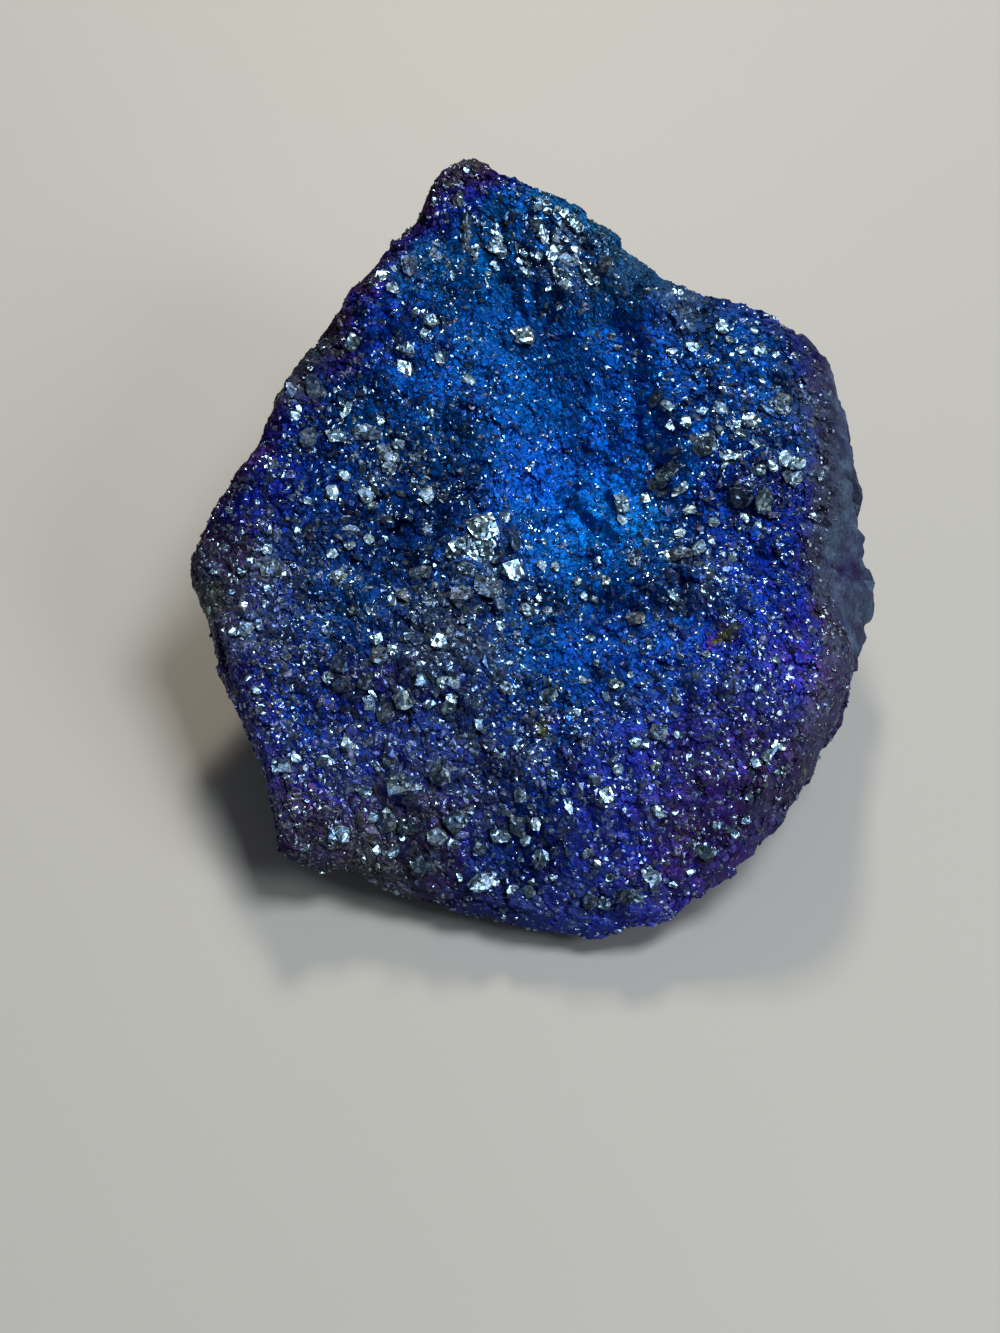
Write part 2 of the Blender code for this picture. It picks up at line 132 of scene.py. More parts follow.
# Long crystal ribs that run down the peak's flank, and sway a little
RIBS = {
    "at": (2.0, 19.0), "reach": (4.5, 3.6), "rise": 0.32, "pitch": 1.7, "heading": -68.0,
    "sway": 0.35, "sway_rate": 1.3,
}

# Noise: how many slopes it draws from, and what brings it to about -1 to 1
NOISE_SLOPES = 64
NOISE_GAIN = 1.7
# Lumps in layers of noise, each a cell size, a height and a seed
FACE_LUMPS = [(9.0, 0.55, 11), (4.2, 0.34, 12), (2.4, 0.2, 13)]
WALL_LUMPS = [(8.0, 0.9, 21), (3.6, 0.45, 22), (2.2, 0.22, 23)]
EDGE_LUMPS = [(3.4, 0.14, 31), (1.8, 0.07, 32)]

# The bulge low on the right wall
SIDE_BULGE = {"angle": -9.0, "spread": 11.0, "height": 5.4, "thickness": 2.4, "rise": 1.9}

# How firmly the walls are pressed onto the flat breaks that trim them
BREAK_FIRMNESS = 0.9
# Those breaks: heading, tilt off the wall's own slope, depth of the bite
BREAKS = [
    (16, -8, -0.9), (44, 8, -0.2), (70, -10, -0.6), (92, 10, 0.3), (120, -8, -0.5), (146, 10, 0.1),
    (174, -8, -0.6), (206, 6, -0.2), (238, -4, -0.2), (336, 4, -0.7), (58, 26, -0.6), (104, 28, 0.2),
    (158, 28, 0.0), (6, 26, -0.6), (268, 4, -0.3), (306, 4, -0.3), (222, 24, -0.3), (318, 22, -0.4),
]

# Larger crystals: middle, spread each way, how many, width, length over width, height over width
CRYSTALS = [
    (-3.9, -1.2, 1.2, 1.4, 7, 2.1, 1.15, 0.42), (-1.6, -3.3, 0.7, 0.8, 3, 1.8, 1.1, 0.42),
    (-4.2, -4.9, 1.3, 0.7, 4, 1.7, 1.1, 0.32), (-6.4, -9.6, 2.6, 2.2, 12, 1.3, 1.2, 0.36),
    (2.0, 18.4, 3.0, 2.4, 14, 1.1, 2.2, 0.3), (12.6, 6.2, 3.4, 3.4, 14, 1.3, 1.2, 0.36),
    (14.6, 2.4, 2.0, 1.8, 6, 1.8, 1.1, 0.36), (-10.6, 11.5, 2.6, 4.0, 12, 1.4, 1.2, 0.34),
    (-7.8, -19.0, 2.8, 2.0, 8, 1.7, 1.5, 0.14), (6.8, -22.8, 3.2, 1.2, 6, 1.5, 1.2, 0.34),
    (8.0, -5.6, 3.6, 1.0, 9, 1.2, 1.2, 0.36), (0.0, -2.0, 15.0, 19.0, 110, 1.25, 1.2, 0.26),
]
CRYSTAL_SEED = 407
CRYSTAL_SIDES = 5
SIDE_SLOPES = (0.9, 2.0)
TOP_TILT = 0.38
# Ranges of a crystal's width, its sides' distances and its height, as shares of what is usual
WIDTH_RANGE = (0.7, 1.3)
SIDE_REACHES = (0.8, 1.15)
TOP_RANGE = (0.7, 1.2)
# How far sides stray from even turns; crystals longer than this over their width follow the ribs
SIDE_PLAY = 0.3
LONG_STRETCH = 2.0
RIB_PLAY = 0.25

# How finely the chunk is meshed: steps along a cube's edge, and the sphere's shares
GRID_STEPS = 127
FACE_SHARE = 0.68
WALL_SHARE = 0.28

# How many kinds of facet there are, and the span of its cell that a facet's middle keeps to
FACET_KINDS = 256
MIDDLE_SPAN = (0.1, 0.9)
# Fine broken facets: cell size, tilt, step between neighbours, seed
FACE_FACETS = [(1.9, 0.1, 0.04, 51), (0.9, 0.12, 0.03, 52), (0.45, 0.14, 0.012, 53)]
WALL_FACETS = [(3.0, 0.09, 0.03, 61), (1.2, 0.08, 0.015, 62), (0.5, 0.05, 0.004, 63)]

# Share of the wall, down from the face's edge, that the tarnish still covers at each angle
TARNISH_RUN = [
    (0, 0.0), (40, 0.04), (100, 0.1), (150, 0.12), (180, 0.28), (200, 0.36), (240, 0.46), (270, 0.54),
    (300, 0.54), (322, 0.48), (336, 0.2), (346, 0.0),
]
# It fades out over these shares of the wall past its run
TARNISH_FADE = (0.02, 0.14)

# Films on the ore from thin to thick, and how brightly a patch is painted: partly its own tone, partly
# painted light and shade
MAROON = 0.28
PLUM = 0.34
VIOLET = 0.43
INDIGO = 0.54
ROYAL = 0.63
BLUE = 0.71
AZURE = 0.79
SKY = 0.88
TEAL = 0.97
BLACK = 0.32
DEEP = 0.45
DIM = 0.62
EVEN = 0.88
CLEAR = 1.22
BRIGHT = 1.65
VIVID = 2.2

# Tarnish on the face, patch by patch: plan place, reach, film, and how brightly it is painted, partly
# painted light and shade
FILM_ZONES = [
    # the blunt peak and its flank
    (-5.2, 23.8, 1.7, MAROON, EVEN), (-6.8, 20.6, 1.6, INDIGO, BLACK), (-3.2, 21.8, 1.6, SKY, EVEN),
    (-4.2, 18.6, 2.2, SKY, EVEN), (0.5, 21.2, 2.0, AZURE, CLEAR), (1.6, 18.2, 2.6, AZURE, CLEAR),
    (4.6, 18.4, 2.0, TEAL, CLEAR), (7.0, 16.4, 2.0, SKY, DIM), (-5.3, 21.4, 0.8, INDIGO, DIM),
    # the valley down the middle
    (-1.6, 15.6, 3.0, AZURE, EVEN), (0.4, 12.4, 3.0, AZURE, CLEAR), (1.4, 8.6, 3.4, AZURE, CLEAR),
    (2.2, 4.6, 3.4, BLUE, BRIGHT), (4.0, 0.6, 2.8, SKY, VIVID), (3.6, -3.0, 2.2, AZURE, BRIGHT),
    (0.4, 0.5, 1.3, AZURE, CLEAR),
    # the lobe on the right
    (6.6, 12.6, 1.7, BLUE, VIVID), (7.2, 8.6, 1.5, AZURE, VIVID), (8.2, 3.6, 1.6, AZURE, VIVID),
    (9.6, 12.6, 2.2, AZURE, DEEP), (10.6, 9.0, 2.4, BLUE, EVEN), (13.4, 10.6, 2.6, AZURE, CLEAR),
    (13.4, 6.6, 2.8, AZURE, CLEAR), (16.0, 11.6, 1.8, BLUE, DEEP), (17.0, 7.0, 1.8, BLUE, DEEP),
    (13.6, 1.4, 2.4, ROYAL, EVEN), (16.4, 0.4, 1.8, INDIGO, DEEP),
    # the right margin
    (13.0, -3.2, 2.4, ROYAL, EVEN), (15.8, -3.6, 2.0, ROYAL, DIM), (15.4, -7.4, 2.4, INDIGO, EVEN),
    (12.0, -7.4, 2.2, BLUE, VIVID), (15.8, -11.6, 2.0, VIOLET, BRIGHT), (12.6, -12.6, 2.6, INDIGO, DIM),
    # below the step
    (7.6, -3.6, 2.2, AZURE, EVEN), (1.0, -5.8, 2.2, AZURE, BLACK), (6.4, -7.2, 2.2, BLUE, EVEN),
    (3.0, -9.0, 2.4, BLUE, BRIGHT), (-1.4, -9.4, 2.0, AZURE, EVEN), (5.6, -11.6, 2.4, BLUE, EVEN),
    (9.2, -11.0, 2.2, BLUE, VIVID), (0.6, -13.6, 2.6, AZURE, EVEN), (-3.4, -13.6, 2.2, ROYAL, EVEN),
    # the near part
    (9.8, -16.6, 3.0, VIOLET, BRIGHT), (13.6, -17.0, 2.4, PLUM, CLEAR),
    (4.6, -17.0, 2.8, INDIGO, CLEAR), (-0.4, -18.0, 2.6, ROYAL, EVEN), (9.0, -21.4, 2.6, PLUM, VIVID),
    (3.6, -22.4, 3.0, INDIGO, CLEAR), (-2.6, -22.4, 2.6, ROYAL, DIM), (-6.6, -20.0, 2.2, PLUM, CLEAR),
    (-4.2, -17.4, 2.0, INDIGO, DEEP), (-8.8, -16.6, 2.2, ROYAL, CLEAR),
    (-11.0, -20.0, 2.2, MAROON, BRIGHT), (-14.6, -19.4, 2.0, PLUM, EVEN),
    (-9.1, -18.4, 1.0, MAROON, VIVID), (2.6, -23.9, 0.9, VIOLET, CLEAR),
    # the left margin and the hollow
    (-13.6, -15.2, 2.4, ROYAL, CLEAR), (-10.8, -12.0, 2.4, INDIGO, DIM),
    (-14.8, -10.6, 2.4, ROYAL, DIM), (-17.6, -10.6, 1.6, INDIGO, EVEN), (-12.0, -6.4, 2.6, AZURE, EVEN),
    (-16.2, -5.6, 1.8, ROYAL, EVEN), (-19.4, -3.6, 1.7, PLUM, EVEN), (-17.6, 0.6, 1.8, INDIGO, EVEN),
    (-14.0, -1.4, 2.2, BLUE, DEEP), (-9.6, -2.0, 2.6, BLUE, BLACK), (-8.4, 2.0, 2.8, BLUE, BLACK),
    (-11.6, 3.0, 2.0, BLUE, DIM), (-6.4, 5.8, 2.6, AZURE, DEEP), (-15.0, 3.8, 1.8, ROYAL, DEEP),
    (-16.6, 6.6, 1.2, PLUM, DEEP), (-11.2, 7.6, 2.2, AZURE, BLACK), (-8.0, 9.4, 2.4, AZURE, BRIGHT),
    (-13.4, 10.0, 1.6, MAROON, BLACK), (-9.8, 12.2, 2.2, ROYAL, EVEN), (-6.4, 13.4, 2.2, AZURE, EVEN),
    (-8.8, 16.4, 1.8, SKY, DIM), (-10.7, 14.5, 0.8, MAROON, DIM), (-3.8, -2.6, 2.4, AZURE, BRIGHT),
    (-6.8, -8.0, 2.4, BLUE, DEEP),
]
# How far patches of film wander, along X and along Y: cell size, distance, seed
PATCH_WANDER = [(1.6, 0.7, 78), (1.6, 0.7, 79)]
# How unevenly film and light lie: cell size, strength, seed
FILM_MOTTLE = [(2.2, 0.03, 71), (0.8, 0.03, 72)]
LIGHT_MOTTLE = [(1.3, 0.18, 80), (0.6, 0.15, 81)]
# Film and light on the wall
WALL_FILM = 0.3
WALL_MOTTLE = [(6.0, 0.12, 73), (1.6, 0.06, 74)]
WALL_LIGHT = 0.8

# Film along the face's edge at each angle
RIM_FILM = [
    (5, 0.24), (25, 0.3), (40, 0.46), (55, 0.8), (70, 0.94), (90, 0.9), (95, 0.5), (99, 0.27),
    (110, 0.3), (130, 0.26), (150, 0.3), (170, 0.34), (190, 0.26), (205, 0.34), (220, 0.44),
    (232, 0.34), (242, 0.24), (252, 0.28), (262, 0.45), (280, 0.52), (300, 0.36), (320, 0.3),
    (340, 0.24),
]
# How far out the rim starts, how firmly its film holds, how much darker it is painted as painted shade
# where the edge turns away, and how much finer it is
RIM_START = 0.915
RIM_FIRMNESS = 0.8
RIM_PAINTED_SHADE = 0.05
RIM_FINENESS = 0.45
# Specks of greenish brass that no film hides: plan place, reach, strength
BRASS_SPOTS = [
    (11.2, -8.9, 0.8, 1.0), (0.5, -14.2, 0.6, 1.0), (-21.3, -5.6, 0.9, 0.8),
]

# How dusty the face's edge is at each angle
RIM_DUST = [
    (0, 0.34), (35, 0.3), (60, 0.08), (150, 0.04), (190, 0.08), (232, 0.22), (265, 0.26), (300, 0.18),
    (330, 0.26), (345, 0.36),
]
# Ground that reads pale and dusty: plan place, reach, strength
DUST_PATCHES = [
    (-17.2, -3.6, 1.1, 0.7), (-18.4, -8.4, 1.1, 0.7), (-21.3, -5.4, 1.1, 0.45), (9.4, 14.6, 1.8, 0.45),
    (5.6, 17.0, 1.6, 0.3), (-15.8, 7.4, 1.2, 0.35), (-5.2, 24.4, 1.2, 0.2), (-20.6, -3.4, 1.3, 0.25),
    (-14.8, 9.6, 1.0, 0.35), (2.0, 20.8, 1.0, 0.4), (-8.8, 16.4, 0.8, 0.4), (17.8, 3.6, 1.2, 0.4),
    (-7.0, -17.5, 6.0, 0.24), (9.0, -17.5, 7.0, 0.18), (-6.2, -9.6, 4.0, 0.26), (17.6, 7.5, 2.2, 0.24),
    (14.0, -13.0, 4.0, 0.14), (3.0, -22.5, 4.0, 0.18), (-17.5, -6.0, 4.5, 0.2), (-3.8, -2.8, 2.2, 0.2),
    (18.4, 3.4, 1.8, 0.32), (18.6, -1.0, 1.6, 0.32), (18.2, -5.4, 1.6, 0.32), (18.0, -10.0, 1.8, 0.26),
    (16.4, -14.6, 1.8, 0.3), (13.8, -18.6, 1.8, 0.26), (-18.6, -14.6, 1.5, 0.16),
    (-17.6, -19.0, 1.6, 0.16),
]
# What is left of a patch's dust where it is barest, and how ragged dust is: cell size, strength, seed
LEAST_DUST = 0.4
DUST_RAGGEDNESS = [(0.9, 0.5, 75)]
# Dust on the wall, in lumps and in streaks drawn out downwards: cell size, strength, seed
WALL_DUST = 0.6
WALL_DUST_MOTTLE = [(4.0, 0.2, 76), (0.7, 0.2, 83)]
WALL_STREAKS = [(0.9, 0.45, 82)]
STREAK_SQUEEZE = np.array([1.0, 1.0, 0.3])

# Ground that is thick with bare grains, or short of them: plan place, reach, how much more or less
BARE_FIELDS = [
    (-3.6, -2.6, 2.6, 1.2), (-6.4, -9.8, 2.8, 1.1), (2.0, 18.6, 2.6, 3.0), (12.4, 6.0, 3.6, 0.5),
    (13.6, 2.0, 2.8, 0.6), (-9.0, 12.4, 2.8, 0.4), (-6.8, 16.0, 2.4, 0.4), (9.8, -4.6, 3.0, 0.4),
    (-12.6, 5.4, 2.4, 0.5), (-9.4, 3.6, 2.4, 0.5), (-17.0, -5.0, 3.5, 1.2), (6.6, -23.0, 2.8, 0.3),
    (-12.0, -19.0, 3.6, 1.1), (-6.6, -17.8, 2.6, 0.5), (-1.6, -7.0, 2.4, 0.3), (12.4, 11.6, 2.6, 0.5),
    (14.4, -4.4, 2.6, 0.4), (-5.4, 21.6, 1.8, 0.5), (-11.8, -10.4, 2.4, 0.3), (9.6, 14.6, 2.0, 0.4),
    (0.6, -15.0, 3.0, 0.4), (11.0, -14.0, 4.0, 0.3), (-14.6, -16.0, 3.0, 0.3), (7.6, -0.6, 2.0, 0.4),
    (-18.2, 1.0, 2.6, 1.1), (-16.4, 4.4, 2.4, 0.2), (-19.6, -3.2, 2.2, 1.2), (-16.0, -12.5, 3.4, 1.2),
    (12.0, -9.0, 4.0, 1.3), (8.0, -16.5, 5.0, 0.9), (-1.0, -13.0, 5.0, 0.8), (1.0, -20.0, 5.0, 0.6),
    (-15.0, 7.6, 2.6, -0.35), (-12.2, 11.4, 2.0, -0.15),
]
# How thick they lie everywhere, how that varies, how much fewer the wall has, and the range kept
BARE_EVERYWHERE = 0.38
BARE_MOTTLE = [(1.6, 0.7, 77)]
BARE_LOSS = 0.9
BARE_RANGE = (0.02, 3.0)

# Ground that is thick with dull grains: plan place, reach, how much
DULL_FIELDS = [
    (-4.4, -5.2, 1.8, 2.4), (-6.4, -9.6, 2.6, 1.5), (-17.8, -5.0, 3.0, 2.0), (-18.0, -10.0, 2.5, 1.5),
    (-16.2, 7.4, 1.4, 1.6), (-13.2, 10.6, 1.4, 1.4), (-5.2, 23.8, 1.8, 1.8), (13.8, 1.6, 2.4, 1.2),
    (-8.8, -18.4, 3.2, 1.8), (-14.5, -18.5, 2.5, 1.0), (6.4, -23.4, 2.4, 1.0), (17.6, 6.8, 1.4, 1.0),
    (-10.8, -11.8, 2.2, 1.0), (-9.4, 3.6, 2.4, 0.6), (2.0, 19.4, 2.4, 0.5), (-2.0, -17.0, 3.0, 0.5),
    (9.6, -4.6, 2.6, 0.5), (-0.4, -14.2, 2.6, 0.5), (9.6, 15.0, 1.8, 1.2), (-17.5, -8.0, 4.0, 0.8),
    (-14.5, -16.5, 4.0, 1.0), (-8.0, -17.5, 5.0, 0.8), (-11.0, -21.0, 4.0, 1.0), (17.0, 8.0, 2.0, 0.8),
]
# How thick they lie everywhere and at the least, and how much fewer the wall has
DULL_EVERYWHERE = 0.12
LEAST_DULL = 0.01
DULL_LOSS = 0.8

# Smooth ground, with finer grains and fewer bare and dull ones: plan place, reach, how much
FINE_FIELDS = [
    (-2.0, 15.6, 2.8, 0.45), (1.6, 8.0, 3.6, 0.42), (3.2, 2.0, 3.4, 0.45), (3.0, -9.0, 2.6, 0.35),
    (6.4, 16.2, 2.4, 0.35), (-4.2, 19.2, 1.6, 0.3),
]
# It thins bare and dull grains this much more firmly than it makes grains finer
BARE_THINNING = 1.6
DULL_THINNING = 1.8
# Height over the table, and height out of the ground, over which grains and bare crystals come in
TABLE_FADE = (0.5, 1.2)
CRYSTAL_FADE = (0.02, 0.12)

# Larger bare crystals: plan place, width, and sheen from 0 for olive to 1 for bright silver
BLOCKS = [
    # the middle cluster
    (-3.7, -1.3, 1.63, 1.0), (-3.9, -2.7, 1.9, 1.0), (-4.9, -2.4, 0.88, 0.9), (-1.7, -4.1, 1.22, 1.0),
    (-3.4, -5.4, 1.63, 0.22), (-5.0, -5.9, 1.5, 0.12), (-7.5, -3.7, 1.16, 0.25),
    (-7.7, -4.7, 0.68, 0.5), (-8.5, -5.4, 0.95, 0.15), (-2.7, -3.1, 0.82, 0.15),
    (-2.7, -5.3, 0.68, 0.5), (-2.2, 0.0, 0.61, 0.6), (-0.7, -1.8, 0.48, 0.9), (0.1, -3.0, 0.61, 0.6),
    (1.0, -2.8, 0.61, 0.8), (2.4, -3.8, 0.54, 0.7), (2.8, -5.0, 0.48, 0.7), (3.7, -2.8, 0.54, 0.95),
    (4.2, -4.3, 0.61, 0.8), (3.4, -5.2, 0.48, 0.7), (-0.1, -5.7, 0.41, 0.9), (-0.9, -6.5, 0.68, 0.4),
    (0.5, -6.4, 0.61, 0.45), (-5.3, -2.5, 0.88, 0.8), (-5.6, -2.8, 0.75, 0.7), (-4.7, -4.3, 1.09, 0.5),
    (-2.3, 0.0, 0.82, 0.9), (-8.8, -5.3, 0.68, 0.3), (-7.0, -6.0, 0.68, 0.4), (-4.4, -2.0, 0.82, 1.0),
    (-3.2, -2.1, 0.68, 1.0), (-3.0, -4.0, 0.82, 0.85), (-4.1, -6.9, 0.82, 0.2), (-2.5, -6.5, 0.68, 0.3),
    (-6.0, -6.0, 0.82, 0.2),
    # the peak and its flank
    (0.6, 22.6, 0.55, 1.0), (0.0, 21.8, 0.65, 1.0), (0.7, 21.7, 0.6, 0.8), (1.3, 21.7, 0.5, 0.7),
    (1.8, 21.5, 0.65, 0.9), (2.8, 20.3, 0.65, 0.9), (2.1, 21.2, 0.5, 0.8), (3.0, 19.7, 0.45, 0.9),
    (-0.2, 20.8, 0.55, 0.7), (1.3, 19.6, 0.6, 0.9), (1.9, 19.4, 0.45, 0.8), (2.4, 18.6, 0.45, 0.8),
    (-0.9, 19.3, 0.7, 1.0), (-1.2, 18.9, 0.5, 0.9), (-0.6, 18.7, 0.55, 1.0), (-0.3, 19.0, 0.45, 0.9),
    (0.1, 18.7, 0.6, 1.0), (-0.8, 18.0, 0.6, 1.0), (-0.5, 17.6, 0.4, 0.8), (0.5, 19.6, 0.5, 0.8),
    (1.9, 17.9, 1.1, 0.45), (1.5, 19.0, 0.65, 0.9), (1.3, 17.1, 0.65, 0.9), (1.8, 16.1, 0.86, 0.9),
    (2.2, 16.2, 0.5, 0.9), (3.9, 16.5, 0.6, 1.0), (-2.9, 20.6, 0.55, 0.9), (-2.8, 21.0, 0.4, 0.8),
    (-2.7, 20.2, 0.76, 0.5), (-2.7, 19.7, 1.1, 0.9), (-2.4, 19.3, 0.5, 0.9), (-3.0, 18.9, 0.4, 0.8),
    (-2.8, 18.7, 0.45, 0.8), (-3.3, 18.2, 0.4, 0.9), (-4.1, 19.6, 0.45, 0.9), (-4.2, 19.2, 0.5, 0.9),
    (-4.2, 18.9, 0.4, 0.9), (-0.9, 20.1, 0.5, 0.5), (4.4, 17.1, 1.01, 0.1), (-1.8, 20.3, 0.55, 0.3),
    (3.1, 17.7, 0.5, 0.8), (-1.1, 19.9, 0.4, 0.8), (-4.8, 23.6, 0.36, 0.9), (-1.3, 22.6, 0.4, 0.9),
    (-1.6, 23.1, 0.4, 0.5), (0.7, 16.3, 0.4, 0.9), (1.4, 15.1, 0.36, 0.9), (0.1, 22.5, 0.36, 0.8),
    (1.6, 20.7, 0.45, 0.8), (-2.0, 21.2, 0.6, 0.15), (-6.2, 22.3, 0.41, 0.9), (-6.9, 21.3, 0.41, 0.95),
    (-0.9, 13.7, 1.36, 0.7), (-7.1, 13.2, 0.95, 0.95), (-6.5, 11.1, 0.82, 0.9), (-4.6, 10.3, 0.75, 0.8),
    (-8.7, 11.0, 0.95, 0.8), (-8.1, 13.1, 0.54, 0.8), (-8.5, 16.4, 1.09, 0.1), (-6.7, 17.8, 0.68, 0.15),
    (9.0, 15.2, 0.54, 1.0), (9.5, 15.5, 0.41, 1.0),
    # the upper left ridge
    (-10.3, 15.3, 0.82, 0.85), (-9.5, 15.9, 0.41, 0.95), (-9.6, 14.5, 0.82, 0.9),
    (-7.5, 12.5, 0.61, 0.85), (-12.1, 10.5, 0.95, 0.35), (-8.8, 10.1, 1.09, 0.9),
    (-14.5, 7.3, 1.3, 0.12), (-14.2, 7.5, 0.41, 1.0), (-16.1, 7.2, 0.95, 0.15), (-15.6, 5.1, 0.54, 0.8),
    (-15.4, 5.6, 0.41, 1.0), (-14.8, 4.1, 1.22, 0.1), (-12.6, 6.6, 0.95, 0.85),
    (-13.6, 5.6, 0.61, 0.95), (-13.1, 4.7, 1.09, 0.9), (-10.3, 6.7, 0.54, 0.9), (-9.1, 5.3, 0.82, 0.6),
    (-9.5, 4.6, 0.82, 1.0), (-10.1, 4.9, 0.82, 0.3), (-9.8, 4.2, 1.09, 0.2), (-12.5, 2.8, 0.68, 0.6),
    (-13.3, 1.6, 0.82, 0.5), (-10.7, 0.8, 0.61, 1.0), (-11.1, 1.7, 0.95, 0.6), (-15.3, 1.3, 0.41, 0.8),
    (-7.2, 2.3, 0.95, 0.3), (-14.8, 0.7, 0.54, 0.5),
    # the lobe on the right
    (10.3, 14.6, 0.41, 0.8), (10.0, 11.5, 0.82, 1.0), (12.1, 12.8, 0.75, 1.0), (12.1, 13.3, 0.41, 0.9),
    (14.2, 12.9, 0.48, 0.95), (12.5, 12.0, 0.54, 0.7), (13.3, 11.2, 0.61, 0.9), (14.5, 11.2, 0.82, 0.8),
    (15.5, 11.0, 0.41, 0.9), (16.7, 10.8, 0.68, 0.7), (12.4, 7.9, 0.41, 0.9), (6.4, 10.9, 0.41, 0.9),
    (4.8, 13.0, 0.61, 0.6), (5.2, 12.2, 0.41, 0.6), (8.7, 11.0, 0.48, 0.8), (8.3, 7.0, 0.82, 0.7),
    (7.6, 7.8, 0.95, 0.15), (8.5, 5.6, 0.68, 1.0), (9.4, 5.5, 0.82, 0.95), (10.5, 6.4, 0.61, 0.95),
    (11.7, 6.5, 0.82, 0.6), (13.7, 5.9, 1.09, 0.8), (12.7, 5.7, 0.54, 1.0), (12.1, 5.4, 0.41, 1.0),
    (11.5, 5.1, 0.54, 0.9), (12.9, 4.6, 0.82, 0.7), (13.8, 4.2, 0.61, 0.9), (12.0, 2.6, 0.75, 1.0),
    (10.6, 4.0, 1.36, 0.6), (9.9, 4.4, 0.68, 0.2), (15.8, 7.6, 1.09, 0.2), (15.7, 6.9, 0.82, 0.5),
    (16.1, 5.7, 0.61, 1.0), (15.7, 3.2, 0.95, 0.9), (14.8, 2.5, 0.68, 0.9), (16.5, 3.2, 0.95, 0.6),
    (16.4, 2.3, 0.95, 0.5), (15.8, 2.3, 0.82, 0.1), (14.0, 2.3, 0.82, 0.7), (12.6, 1.9, 0.48, 0.9),
    (14.2, 0.3, 1.36, 0.6), (12.8, 0.5, 1.36, 0.1), (10.6, 1.2, 0.82, 0.6), (8.9, 1.7, 0.82, 0.5),
    (8.0, 2.0, 0.68, 0.5), (9.3, 1.9, 0.54, 0.8), (5.1, 1.9, 0.48, 0.8), (6.8, 1.9, 0.61, 1.0),
    (5.3, 1.4, 0.95, 0.8), (5.3, 0.4, 0.61, 0.9), (9.6, 0.3, 0.68, 0.6), (11.0, -0.8, 0.68, 0.8),
    (13.0, -0.5, 0.61, 0.8), (13.8, -1.1, 0.54, 0.9), (17.5, -0.2, 0.54, 0.8),
    # below the step
    (7.0, -1.8, 0.82, 0.75), (7.9, -3.1, 0.75, 0.6), (8.4, -2.0, 0.48, 0.9), (8.9, -1.2, 0.68, 0.95),
    (8.9, -3.1, 1.36, 0.12), (9.8, -4.4, 0.61, 0.8), (10.0, -3.1, 0.82, 0.7), (10.8, -2.4, 0.48, 0.9),
    (11.0, -5.5, 0.82, 0.8), (10.2, -6.2, 0.61, 0.85), (12.0, -3.7, 0.61, 0.9), (11.4, -3.7, 0.41, 0.9),
    (8.3, -6.1, 0.68, 1.0), (8.2, -6.5, 0.41, 1.0), (6.0, -7.2, 0.95, 0.1), (-2.5, -7.8, 0.54, 0.85),
    (3.1, -8.6, 0.48, 0.95), (3.5, -10.6, 0.48, 0.8), (5.5, -11.2, 0.41, 1.0), (0.4, -11.7, 0.61, 0.6),
    (0.5, -12.6, 0.95, 0.75), (2.6, -11.4, 0.48, 0.7), (4.6, -12.0, 0.68, 0.8), (4.0, -12.6, 0.54, 0.5),
    (2.1, -13.5, 0.48, 0.6), (-2.2, -12.2, 0.68, 0.25), (-3.6, -14.1, 0.95, 0.45),
    (-4.0, -13.2, 0.41, 0.9), (-1.5, -15.6, 0.41, 0.9), (-2.2, -15.9, 0.41, 0.7),
    (5.7, -15.7, 0.61, 0.85), (6.3, -15.7, 0.41, 0.85), (7.1, -15.0, 0.95, 0.12),
    (8.2, -15.2, 0.41, 0.8), (8.2, -13.0, 0.54, 0.6), (10.1, -13.4, 0.41, 0.95),
    (10.1, -10.3, 0.41, 0.8),
    # the second cluster
    (-6.3, -9.5, 0.95, 0.95), (-6.3, -10.9, 0.54, 0.9), (-5.8, -11.2, 0.54, 0.7),
    (-8.2, -8.8, 0.61, 0.7), (-7.9, -8.2, 0.41, 0.9), (-9.2, -9.7, 0.68, 0.85),
    (-10.1, -8.8, 0.68, 0.8), (-9.9, -10.0, 1.09, 0.2), (-7.4, -11.1, 0.41, 0.9),
    (-7.4, -12.1, 0.68, 0.95), (-6.0, -12.0, 0.82, 0.6), (-5.3, -11.9, 0.82, 0.2),
    (-5.5, -12.8, 0.61, 0.95), (-6.9, -13.0, 0.61, 0.7), (-5.7, -13.2, 0.82, 0.4),
    (-8.4, -12.6, 1.22, 0.35), (-10.5, -12.9, 0.82, 0.35), (-10.8, -11.7, 0.95, 0.2),
    (-12.2, -11.7, 1.09, 0.12), (-12.4, -10.4, 1.09, 0.12), (-12.8, -10.5, 0.48, 0.9),
    (-13.1, -11.2, 0.68, 0.6), (-9.6, -13.2, 1.22, 0.15), (-12.8, -4.2, 1.02, 0.3),
    (-12.6, -3.8, 0.54, 0.7), (-13.2, -2.6, 0.61, 0.9), (-12.1, -1.9, 0.61, 0.95),
    (-11.8, -0.7, 0.41, 0.95), (-10.9, -1.2, 0.68, 0.75), (-12.1, -0.9, 0.82, 0.3),
    (-9.3, -5.9, 0.61, 0.95), (-6.9, -6.2, 0.61, 0.6), (-7.1, 0.0, 0.61, 0.5),
    (-11.6, -6.6, 0.68, 0.12),
    # the left margin
    (-17.2, -1.4, 0.54, 0.8), (-17.3, -2.5, 0.68, 0.85), (-17.0, -3.6, 1.22, 0.4),
    (-16.2, -3.7, 0.82, 0.7), (-18.8, -3.7, 0.68, 0.8), (-18.3, -3.2, 0.54, 0.8),
    (-20.5, -3.6, 0.54, 0.9), (-19.4, -5.1, 0.41, 0.8), (-16.0, -5.1, 0.48, 0.95),
    (-17.2, -4.9, 0.41, 0.7), (-19.1, -7.9, 0.54, 0.8), (-18.4, -7.7, 0.95, 0.3),
